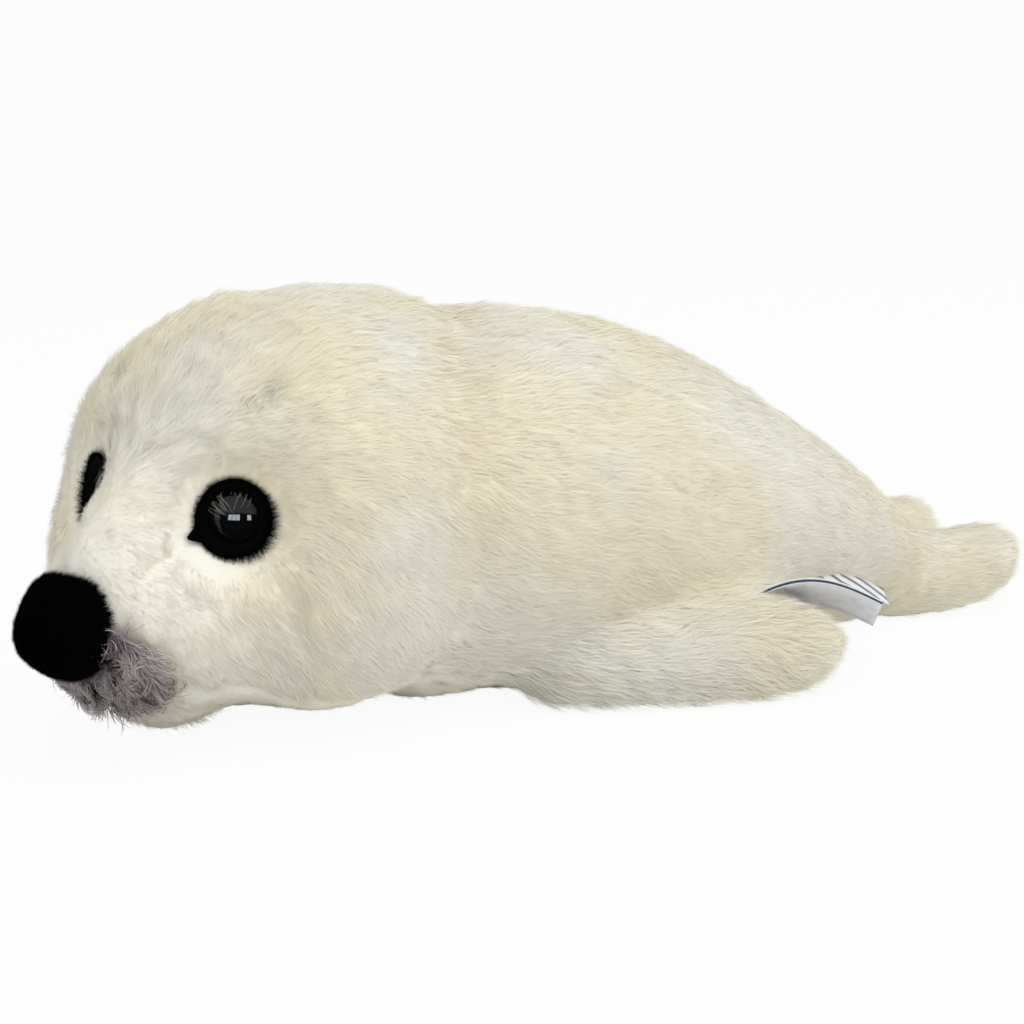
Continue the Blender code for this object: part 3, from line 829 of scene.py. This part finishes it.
def turned_dome(name, side):
    """The profile turned about the eye's axis: the dome's top, its edge, its back and the stem."""
    back, axis, _, up = eye_frame(side)
    rings = EYE_RADIUS * np.sin(np.linspace(0, math.pi / 2, DOME_RINGS + 1)[1:])
    radii = np.concatenate([rings, [EYE_RADIUS, STEM_RADIUS, STEM_RADIUS]])
    heights = np.concatenate([dome_height(rings), [0, 0, -STEM_LENGTH]])
    angles = np.arange(DOME_AROUND) * 2 * math.pi / DOME_AROUND
    grid = back + heights[:, None, None] * axis + radii[:, None, None] * ways_at(angles, np.cross(up, axis), up)
    ends = back + np.outer([DOME_HEIGHT + DOME_RIM, -STEM_LENGTH], axis)
    last = len(radii) - 1
    around = np.arange(DOME_AROUND)
    after = (around + 1) % DOME_AROUND
    quads = ring_quads(len(radii), DOME_AROUND)
    sides = np.concatenate([quads[:, [0, 2, 1]], quads[:, [0, 3, 2]]])
    top = np.stack([around, after, np.full(DOME_AROUND, grid.size // 3)], axis=1)
    foot = np.stack([after + last * DOME_AROUND, around + last * DOME_AROUND,
                     np.full(DOME_AROUND, grid.size // 3 + 1)], axis=1)
    points = np.concatenate([grid.reshape(-1, 3), ends])
    return linked(name, mesh_from(name, points, np.concatenate([sides, top, foot])))


domes = {side: turned_dome("eye_dome_" + side, side) for side in ("left", "right")}
print("dome triangles:", len(domes["left"].data.polygons))

# %% Hairs around and over the eyes
FELT_WIDTH = 0.0010
FELT_HEIGHT = 0.0007
FELT_HOLE = 0.68
FELT_AROUND = 96
FELT_RINGS = 6
FELT_HAIRS = 2400
FELT_PILE = 0.0024
OUTER_PILE = 0.0034
OUTER_ANGLE = math.radians(-25)
TEAR_ANGLE = math.radians(205)
TEAR_POINT = 0.0032
TEAR_SHARPNESS = 110
FELT_HALF_WIDTH = 0.00007
STRAY_HALF_WIDTH = 0.000025
STRAY_HAIRS = 22
STRAY_PLACES = 6
STRAY_SPREAD = math.radians(100)


def felt_reach(angles):
    """How far the felt reaches from the eye's axis: a ring, drawn to a point at the inner corner."""
    tear = np.maximum(np.cos(angles - TEAR_ANGLE), 0)**TEAR_SHARPNESS
    return EYE_RADIUS + FELT_WIDTH + TEAR_POINT * tear


def laid_on_head(flat, back, axis):
    """Places of an eye's back plane moved along its axis to the felt's height over the head."""
    return flat + (heights_on(head_tree, flat, back, axis) + FELT_HEIGHT)[:, None] * axis


def felt_ring(name, side):
    """The felt around a dome, laid on the head."""
    back, axis, outer, up = eye_frame(side)
    angles = np.arange(FELT_AROUND) * 2 * math.pi / FELT_AROUND
    shares = np.linspace(0, 1, FELT_RINGS)[:, None]
    inner = FELT_HOLE * EYE_RADIUS
    radii = inner + shares * (felt_reach(angles) - inner)
    flat = (back + radii[:, :, None] * ways_at(angles, outer, up)).reshape(-1, 3)
    quads = ring_quads(FELT_RINGS, FELT_AROUND)[:, [0, 3, 2, 1] if side == "left" else [1, 2, 3, 0]]
    made = linked(name, mesh_from(name, laid_on_head(flat, back, axis), quads))
    solid = made.modifiers.new("felt", "SOLIDIFY")
    solid.thickness = FELT_HEIGHT
    return made


def felt_hairs(name, side, seed):
    """Black hairs rooted on the felt: radially out, longest towards the outer corner."""
    random = np.random.default_rng(seed)
    back, axis, outer, up = eye_frame(side)
    angles = random.uniform(0, 2 * math.pi, FELT_HAIRS)
    radii = EYE_RADIUS + (felt_reach(angles) - EYE_RADIUS) * random.random(FELT_HAIRS)
    ways = ways_at(angles, outer, up)
    roots = laid_on_head(back + radii[:, None] * ways, back, axis)
    normals = unit(axis + 0.35 * ways)
    lean = ways * random.uniform(-0.15, 1.0, (FELT_HAIRS, 1)) + 0.45 * random.normal(size=(FELT_HAIRS, 3))
    lean = unit(lean - normals * dot(lean, normals))
    length = FELT_PILE + OUTER_PILE * np.maximum(np.cos(angles - OUTER_ANGLE), 0)**2
    length = length * random.uniform(0.5, 1.3, FELT_HAIRS)
    lifts = np.array([[1.0, 0.5]]) * random.uniform(0.6, 1.2, (FELT_HAIRS, 1))
    turns = np.array([[0, 1]]) * random.normal(0, 0.35, (FELT_HAIRS, 1))
    edge = np.cross(normals, lean) * FELT_HALF_WIDTH
    spine = spines(roots, normals, lean, length, lifts, turns)
    return strips(name, spine, edge, normals, tint=random.random(FELT_HAIRS))


def stray_hairs(name, side, seed):
    """Thin white hairs from the brow over the dome's upper edge, just above its surface."""
    random = np.random.default_rng(seed)
    back, axis, outer, up = eye_frame(side)
    start = math.pi / 2 + STRAY_SPREAD * random.uniform(-0.45, 0.75, STRAY_HAIRS)
    share = np.linspace(0, 1, STRAY_PLACES)[None, :]
    angles = start[:, None] + share * random.uniform(-0.8, 0.9, (STRAY_HAIRS, 1))
    radii = 0.0135 - share * random.uniform(0.0050, 0.0125, (STRAY_HAIRS, 1))
    heights = dome_height(radii) + 0.0003 + 0.0012 * share * random.random((STRAY_HAIRS, 1))
    spine = (back + heights[:, :, None] * axis
             + (radii * np.cos(angles))[:, :, None] * outer + (radii * np.sin(angles))[:, :, None] * up)
    edge = unit(np.cross(axis, spine[:, -1] - spine[:, 0])) * STRAY_HALF_WIDTH
    facing = np.tile(axis, (STRAY_HAIRS, 1))
    nothing = np.zeros(STRAY_HAIRS)
    return strips(name, spine, edge, facing, tint=random.random(STRAY_HAIRS), stain=nothing, smoke=nothing + 0.3)


felts = {side: felt_ring("eye_felt_" + side, side) for side in domes}
eye_hairs = {side: felt_hairs("eye_surround_" + side, side, 210 + i) for i, side in enumerate(domes)}
strays = {side: stray_hairs("stray_hairs_" + side, side, 220 + i) for i, side in enumerate(domes)}
print("hairs around each eye:", FELT_HAIRS)

# %% Brow marks
BROW_HAIRS = 13
BROW_SPREAD = 0.0016
BROW_HALF_WIDTH = 0.00008


def brow_hairs(name, side, seed):
    """A small tuft of short dark hairs in each brow mark, which fall forwards."""
    random = np.random.default_rng(seed)
    place = face_place(side, *BROW_PLACE)
    near = np.argsort(np.linalg.norm(points - place, axis=1))[:24]
    chosen = random.choice(near, BROW_HAIRS)
    jitter = BROW_SPREAD / 2 * random.normal(size=(BROW_HAIRS, 3))
    roots = points[chosen] + jitter - normals[chosen] * dot(jitter, normals[chosen]) + 0.0012 * normals[chosen]
    lean = from_head(0.1 * side, 0.5, -0.8) + 0.22 * random.normal(size=(BROW_HAIRS, 3))
    lean = unit(lean - normals[chosen] * dot(lean, normals[chosen]))
    length = random.uniform(0.0035, 0.0075, BROW_HAIRS)
    lifts = np.array([[0.8, 0.3]]) * random.uniform(0.6, 1.3, (BROW_HAIRS, 1))
    turns = np.array([[0, 1]]) * random.normal(0, 0.12, (BROW_HAIRS, 1))
    edge = np.cross(normals[chosen], lean) * BROW_HALF_WIDTH
    spine = spines(roots, normals[chosen], lean, length, lifts, turns)
    return strips(name, spine, edge, normals[chosen], tint=random.random(BROW_HAIRS))


brows = [brow_hairs("brow_hairs_left", 1, 230), brow_hairs("brow_hairs_right", -1, 231)]
print("hairs in each brow mark:", BROW_HAIRS)

# %% [markdown]
# ## The labels
# The seam label is folded: two layers of white ribbon with a dark sheet between them, which is painted shade of
# the gap between the folded layers. Its near edge stands up over the front flipper and its far edge is turned
# down.
# The label behind it is one white strip with plain lines.

# %% Ribbons
STAND_SHIFT = -0.00807
RIBBON_STEPS = 28
RIBBON_ACROSS = 6
LAYER_THICKNESS = 0.00045
LAYER_STEP = 0.0007
TURN_SOON = 1.8
Ribbon = namedtuple("Ribbon", "root size heading drop roll arch")
SEAM_LABEL = Ribbon((0.062, 0.054 + STAND_SHIFT, 0.0305), (0.056, 0.020), math.radians(64), -0.003,
                    math.radians(8), 0.011)
CARE_LABEL = Ribbon((0.052, 0.090 + STAND_SHIFT, 0.033), (0.036, 0.018), math.radians(60), 0.004,
                    math.radians(30), 0.003)


def across_ribbon(ribbon, roll):
    """The way across a ribbon at a roll: level to its side, and up."""
    side = np.array([-math.sin(ribbon.heading), math.cos(ribbon.heading), 0])
    return np.cos(roll)[..., None] * side + np.sin(roll)[..., None] * np.array([0, 0, 1])


def ribbon_place(ribbon, share, offset, turn):
    """A ribbon's points: the near edge arches more than the CAD strip, and the far edge is turned about it."""
    length, width = ribbon.size
    ahead = np.array([math.cos(ribbon.heading), math.sin(ribbon.heading), 0])
    roll = np.full(share.shape, ribbon.roll)
    turned = roll + turn * np.minimum(1, TURN_SOON * share)
    place = np.array(ribbon.root) + length * share[..., None] * ahead - width / 2 * across_ribbon(ribbon, roll)
    place += width * (offset[..., None] + 0.5) * across_ribbon(ribbon, turned)
    place[..., 2] += ribbon.arch * np.sin(math.pi * share) - ribbon.drop * share**2
    return place


def ribbon_piece(name, ribbon, layers, turn):
    """Layers of ribbon over each other."""
    share, offset = np.meshgrid(np.linspace(0, 1, RIBBON_STEPS), np.linspace(-0.5, 0.5, RIBBON_ACROSS),
                                indexing="ij")
    sheets, quads, gap_shade = [], [], []
    for layer in range(layers):
        sheet = ribbon_place(ribbon, share, offset, turn)
        sheet[..., 2] += LAYER_STEP * ((layers - 1) / 2 - layer)
        sheets.append(sheet.reshape(-1, 3))
        # The middle of three layers is dark: painted shade of the gap between the folded layers.
        gap_shade.append(np.full(share.size, float(layers > 1 and layer == 1)))
        first = layer * share.size + (np.arange(RIBBON_STEPS - 1)[:, None] * RIBBON_ACROSS
                                      + np.arange(RIBBON_ACROSS - 1)).ravel()
        quads.append(np.stack([first, first + RIBBON_ACROSS, first + RIBBON_ACROSS + 1, first + 1], axis=1))
    made = linked(name, mesh_from(name, np.concatenate(sheets), np.concatenate(quads)))
    give_values(made, "gap_shade", np.concatenate(gap_shade))
    give_values(made, "run", np.tile(share.ravel() * ribbon.size[0], layers))
    give_values(made, "cross", np.tile(offset.ravel() * ribbon.size[1], layers))
    solid = made.modifiers.new("ribbon", "SOLIDIFY")
    solid.thickness = LAYER_THICKNESS
    solid.offset = 0
    return made


seam_ribbon = ribbon_piece("seam_ribbon", SEAM_LABEL, 3, math.radians(-46))
care_ribbon = ribbon_piece("care_ribbon", CARE_LABEL, 1, math.radians(-26))

# %% [markdown]
# ## Shader maths as expressions
# A small class wraps a node's socket, so that a pattern is written as a formula. Every operator adds one Math
# node, and numbers alone stay in Python.

# %% Sockets with operators


class Wire:
    """A node's output that takes part in sums."""

    def __init__(self, tree, socket):
        self.tree = tree
        self.socket = socket

    def maths(self, operation, *values):
        return add_node(self.tree, "ShaderNodeMath", {"operation": operation}, dict(enumerate(values)))[0]

    def __add__(self, other):
        return self.maths("ADD", self, other)

    __radd__ = __add__

    def __sub__(self, other):
        return self.maths("SUBTRACT", self, other)

    def __rsub__(self, other):
        return self.maths("SUBTRACT", other, self)

    def __mul__(self, other):
        return self.maths("MULTIPLY", self, other)

    __rmul__ = __mul__

    def steps(self, low, high):
        """0 up to low and 1 from high, soft between them."""
        return add_node(self.tree, "ShaderNodeMapRange", {"interpolation_type": "SMOOTHSTEP"},
                        {"Value": self, "From Min": low, "From Max": high})[0]


def add_node(tree, kind, settings, values):
    """Adds a node with its settings, then its values or links, and returns its outputs as wires."""
    node = tree.nodes.new(kind)
    for name, value in settings.items():
        setattr(node, name, value)
    for name, value in values.items():
        socket = node.inputs[name]
        if isinstance(value, Wire):
            tree.links.new(value.socket, socket)
        else:
            socket.default_value = value
    return [Wire(tree, socket) for socket in node.outputs if socket.enabled]


def new_material(name, **constants):
    """A Principled material: constants go on its sockets, with spaces for their underscores."""
    made = bpy.data.materials.new(name)
    made.use_nodes = True
    shader = made.node_tree.nodes["Principled BSDF"]
    for key, value in constants.items():
        shader.inputs[key.replace("_", " ")].default_value = value
    return made, made.node_tree, shader


def colour_mix(tree, share, first, second):
    """A colour that goes from the first to the second as share goes from 0 to 1."""
    wires = add_node(tree, "ShaderNodeMix", {"data_type": "RGBA"}, {"Factor": share, "A": first, "B": second})
    return wires[0]


def object_place(tree):
    return add_node(tree, "ShaderNodeTexCoord", {}, {})[3]


def attribute(tree, name):
    node = tree.nodes.new("ShaderNodeAttribute")
    node.attribute_name = name
    return Wire(tree, node.outputs["Fac"])


def noise(tree, place, scale, detail=2.0):
    return add_node(tree, "ShaderNodeTexNoise", {}, {"Vector": place, "Scale": scale, "Detail": detail})[0]


def join(tree, wire, shader, name):
    tree.links.new(wire.socket, shader.inputs[name])


def dress(piece, look):
    """Gives a piece its material and its slot, and lets it ride on the seal's one body."""
    piece.data.materials.append(look)
    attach(piece, "root")


# %% [markdown]
# ## The white pile's colour
# The pile isn't one white. It is cream where it is deep, cooler and whiter on top, and a little tan at the roots:
# painted shade for where light has passed through many hairs.

# %% Pile material
CREAM = (0.955, 0.915, 0.745, 1)
COOL_WHITE = (0.958, 0.945, 0.875, 1)
WARM_BEIGE = (0.900, 0.835, 0.690, 1)
# Tan of the painted shade at the roots of the pile.
ROOT_SHADE_TAN = (0.860, 0.780, 0.590, 1)
# Tan for the painted shade in seams, creases and low sides, and for the stains of the tail and flippers.
SHADE_AND_STAIN_TAN = (0.700, 0.570, 0.330, 1)
SMOKE_GREY = (0.230, 0.215, 0.195, 1)


def pile_colour(tree, place):
    """Cream and cool white drift into each other over some centimetres, with faint beige patches."""
    broad = noise(tree, place, 16.0).steps(0.38, 0.62)
    patches = noise(tree, place, 34.0, 3.0).steps(0.50, 0.72)
    colour = colour_mix(tree, broad, CREAM, COOL_WHITE)
    return colour_mix(tree, patches * 0.30, colour, WARM_BEIGE)


def pile_material():
    made, tree, shader = new_material("white_pile", Roughness=0.75)
    height = attribute(tree, "height")
    colour = colour_mix(tree, attribute(tree, "tint") * 0.20, pile_colour(tree, object_place(tree)), COOL_WHITE)
    # Painted shade: each hair turns tan towards its root, deep in the pile.
    colour = colour_mix(tree, (1 - height) * 0.15, colour, ROOT_SHADE_TAN)
    # Painted shade in the seams, creases and low sides, together with the yellow tone of the tail and the
    # flippers.
    colour = colour_mix(tree, attribute(tree, "stain"), colour, SHADE_AND_STAIN_TAN)
    colour = colour_mix(tree, attribute(tree, "smoke"), colour, SMOKE_GREY)
    join(tree, colour, shader, "Base Color")
    return made


def skin_material():
    made, tree, shader = new_material("pile_backing", Roughness=0.9)
    place = object_place(tree)
    # The backing takes a little of the root shade's tan, mixed in by a noise.
    colour = colour_mix(tree, noise(tree, place, 900.0) * 0.15, pile_colour(tree, place), ROOT_SHADE_TAN)
    join(tree, colour, shader, "Base Color")
    return made


WHITE_PILE = pile_material()
for piece in white_pile + list(strays.values()):
    dress(piece, WHITE_PILE)
dress(skin, skin_material())
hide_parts(*BODY_NODES)


# %% Black, mauve and satin materials
def hair_material(name, dull, bright, lit_tips, power, **constants):
    """Hairs that differ in tone and turn to the tips' colour along their length: darker roots are painted shade
    deep in the pile, and lighter tips a painted highlight.
    """
    made, tree, shader = new_material(name, **constants)
    height = attribute(tree, "height")
    colour = colour_mix(tree, attribute(tree, "tint"), dull, bright)
    colour = colour_mix(tree, height.maths("POWER", height, power), colour, lit_tips)
    join(tree, colour, shader, "Base Color")
    return made


def speckled_material(name, first, second, scale, **constants):
    """Two near tones mixed by a fine noise."""
    made, tree, shader = new_material(name, **constants)
    share = noise(tree, object_place(tree), scale)
    join(tree, colour_mix(tree, share, first, second), shader, "Base Color")
    return made


def ribbon_material(name, lined):
    """White satin with a dark middle layer, painted shade of the gap between folded layers, and, where lined,
    plain slanting lines.
    """
    made, tree, shader = new_material(name, Roughness=0.45)
    mottle = noise(tree, object_place(tree), 260.0, 3.0).steps(0.45, 0.75)
    colour = colour_mix(tree, mottle * 0.35, SATIN_WHITE, SATIN_GREY)
    # Painted shade: the dark middle layer stands for the gap between the folded layers.
    colour = colour_mix(tree, attribute(tree, "gap_shade"), colour, GAP_SHADE_BLUE)
    if lined:
        slant = attribute(tree, "run") + attribute(tree, "cross") * LINE_SLANT
        wave = slant.maths("SINE", slant * (2 * math.pi / LINE_STEP))
        colour = colour_mix(tree, wave.steps(0.10, 0.60) * 0.9, colour, LINE_GREY)
    join(tree, colour, shader, "Base Color")
    return made


DEEP_BLACK = (0.0003, 0.0003, 0.0005, 1)
WORN_BLACK = (0.0014, 0.0014, 0.0018, 1)
TIP_HIGHLIGHT_BLACK = (0.0045, 0.0043, 0.0046, 1)
SATIN_WHITE = (0.82, 0.83, 0.86, 1)
SATIN_GREY = (0.50, 0.51, 0.55, 1)
# Dark blue-grey of the painted shade between the label's folded layers.
GAP_SHADE_BLUE = (0.035, 0.060, 0.090, 1)
LINE_GREY = (0.11, 0.11, 0.13, 1)
LINE_STEP = 0.0078
LINE_SLANT = 0.8

# The velour's hairs turn to a lighter black at their tips: a painted highlight.
velour = hair_material("black_velour", DEEP_BLACK, WORN_BLACK, TIP_HIGHLIGHT_BLACK, 2.0, Roughness=0.9,
                       Specular_IOR_Level=0.0)
for piece in (nose_velour, *eye_hairs.values()):
    dress(piece, velour)
dress(nose_base, speckled_material("velour_backing", DEEP_BLACK, WORN_BLACK, 700.0, Roughness=1.0,
                                   Specular_IOR_Level=0.0))
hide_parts("nose")

# Dark roots and light tips on the curls: painted shade in the gaps and a painted highlight on the tips.
mauve = hair_material("mauve_pile", (0.095, 0.072, 0.076, 1), (0.300, 0.250, 0.256, 1),
                      (0.700, 0.625, 0.620, 1), 1.3, Roughness=0.7)
dress(mouth_curls, mauve)
dress(mouth_base, speckled_material("mauve_backing", (0.075, 0.058, 0.065, 1), (0.150, 0.120, 0.130, 1), 500.0,
                                    Roughness=0.95))
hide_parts("mouth_patch")

# The brow hairs lighten towards their tips: a painted highlight.
dark_hair = hair_material("dark_hair", (0.020, 0.017, 0.015, 1), (0.070, 0.060, 0.050, 1),
                          (0.120, 0.100, 0.085, 1), 2.0, Roughness=0.8)
for piece in brows:
    dress(piece, dark_hair)

dress(seam_ribbon, ribbon_material("seam_satin", False))
dress(care_ribbon, ribbon_material("care_satin", True))
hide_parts("seam_label")
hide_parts("care_label")

polished = speckled_material("polished_black", (0.0030, 0.0030, 0.0035, 1), (0.0045, 0.0045, 0.0050, 1), 40.0,
                             Roughness=0.04, Specular_IOR_Level=0.32)
for side, dome in domes.items():
    dress(dome, polished)
    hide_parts("eye_" + side)
felt = speckled_material("black_felt", DEEP_BLACK, WORN_BLACK, 900.0, Roughness=1.0, Specular_IOR_Level=0.1)
clear = speckled_material("clear_plastic", (0.72, 0.72, 0.69, 1), (0.80, 0.80, 0.77, 1), 300.0, Roughness=0.35)
for side in domes:
    dress(felts[side], felt)
    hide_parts("eye_backing_" + side)
    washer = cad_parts["eye_washer_" + side].data
    washer.materials.clear()
    washer.materials.append(clear)

# %% [markdown]
# ## Floor, world and lamps
# The floor and the background are white by their own colour. The world lights softly from all round, and a large
# soft lamp stands for the ceiling. The polished eyes mirror a dim room with a window: cards that only glossy rays
# see.

# %% Stage


def world_light(strength):
    """White for the camera and in reflections, and `strength` as light on the seal."""
    world = bpy.data.worlds.new("studio")
    world.use_nodes = True
    tree = world.node_tree
    paths = add_node(tree, "ShaderNodeLightPath", {}, {})
    seen = paths[0].maths("MAXIMUM", paths[0], paths[0].maths("MAXIMUM", paths[3], paths[6]))
    background = tree.nodes["Background"]
    background.inputs["Color"].default_value = (1, 1, 1, 1)
    tree.links.new((seen * (1 - strength) + strength).socket, background.inputs["Strength"])
    bpy.context.scene.world = world


def soft_lamp(name, azimuth, elevation, distance, size, power):
    data = bpy.data.lights.new(name, "AREA")
    data.shape = "RECTANGLE"
    data.size, data.size_y = size
    data.energy = power
    made = bpy.data.objects.new(name, data)
    back = heading(math.radians(azimuth), math.radians(elevation))
    made.location = CAMERA_TARGET + distance * back
    made.rotation_euler = back.to_track_quat("Z", "Y").to_euler()
    made.visible_glossy = False
    bpy.context.scene.collection.objects.link(made)
    return made


def mixed_surface(tree, share, first, second):
    """Puts a mix of two shaders on a material's surface."""
    mix = tree.nodes.new("ShaderNodeMixShader")
    tree.links.new(share.socket, mix.inputs[0])
    tree.links.new(first.outputs[0], mix.inputs[1])
    tree.links.new(second.outputs[0], mix.inputs[2])
    tree.links.new(mix.outputs[0], tree.nodes["Material Output"].inputs["Surface"])


def emission(tree, colour, strength):
    made = tree.nodes.new("ShaderNodeEmission")
    made.inputs["Color"].default_value = colour
    made.inputs["Strength"].default_value = strength
    return made


def floor():
    """A pale floor. To the camera most of it is plain white, and the rest keeps the seal's shadow."""
    side = FLOOR_SIDE / 2
    corners = np.array([[-side, -side, 0], [side, -side, 0], [side, side, 0], [-side, side, 0]])
    made = linked("floor", mesh_from("floor", corners, np.array([[0, 1, 2, 3]])))
    look, tree, shader = new_material("pale_floor", Base_Color=(0.92, 0.92, 0.92, 1), Roughness=0.9)
    seen = add_node(tree, "ShaderNodeLightPath", {}, {})[0]
    mixed_surface(tree, seen * FLOOR_WHITE, shader, emission(tree, (1, 1, 1, 1), 1.0))
    made.data.materials.append(look)


def mirrored_card(name, corners, colour, strength):
    """A card that only glossy rays see."""
    made = linked(name, mesh_from(name, np.array(corners), np.array([[0, 1, 2, 3]])))
    look, tree, _ = new_material(name)
    glossy = add_node(tree, "ShaderNodeLightPath", {}, {})[3]
    clear = tree.nodes.new("ShaderNodeBsdfTransparent")
    mixed_surface(tree, glossy, clear, emission(tree, colour, strength))
    made.data.materials.append(look)


def wall_corners(distance, azimuths, heights):
    """A rectangle on the room's wall, which faces the seal at a distance."""
    middle = np.array(heading(ROOM_AZIMUTH, 0))
    across = np.array([math.cos(ROOM_AZIMUTH), math.sin(ROOM_AZIMUTH), 0])
    ends = [distance * (middle + math.tan(math.radians(azimuth)) * across) for azimuth in azimuths]
    return [end + [0, 0, height] for end, height in
            ((ends[0], heights[0]), (ends[1], heights[0]), (ends[1], heights[1]), (ends[0], heights[1]))]


FLOOR_SIDE = 60
FLOOR_WHITE = 0.94
ROOM_AZIMUTH = math.radians(58)
ROOM_DISTANCE = 2.5
ROOM_HEIGHT = 1.05
ROOM_SPREAD = (-52, 52)
CARD_LIFTS = (0.0006, 0.0006)
WINDOW_HEIGHTS = (0.30, 0.88)
WINDOWS = ((-30, -22), (-21, -13), (-12, -4), (14, 24))
WINDOW_BLUE = (0.80, 0.90, 1.0, 1)
WINDOW_GLOW = 16

world_light(0.50)
soft_lamp("ceiling", 85, 70, 1.8, (1.6, 1.2), 16)
soft_lamp("front", 112, 20, 1.8, (1.6, 1.2), 7)
floor()
mirrored_card("dim_wall", wall_corners(ROOM_DISTANCE + 0.02, ROOM_SPREAD, (0, ROOM_HEIGHT)), (0, 0, 0, 1), 0)
near_floor = wall_corners(0.16, (-40, 40), CARD_LIFTS)[:2]
far_floor = wall_corners(ROOM_DISTANCE, ROOM_SPREAD, CARD_LIFTS)[:2]
mirrored_card("dim_floor", [*near_floor, *far_floor[::-1]], (0, 0, 0, 1), 0)
for i, azimuths in enumerate(WINDOWS):
    mirrored_card(f"window_{i}", wall_corners(ROOM_DISTANCE, azimuths, WINDOW_HEIGHTS), WINDOW_BLUE, WINDOW_GLOW)
bpy.context.scene.view_settings.view_transform = "Standard"
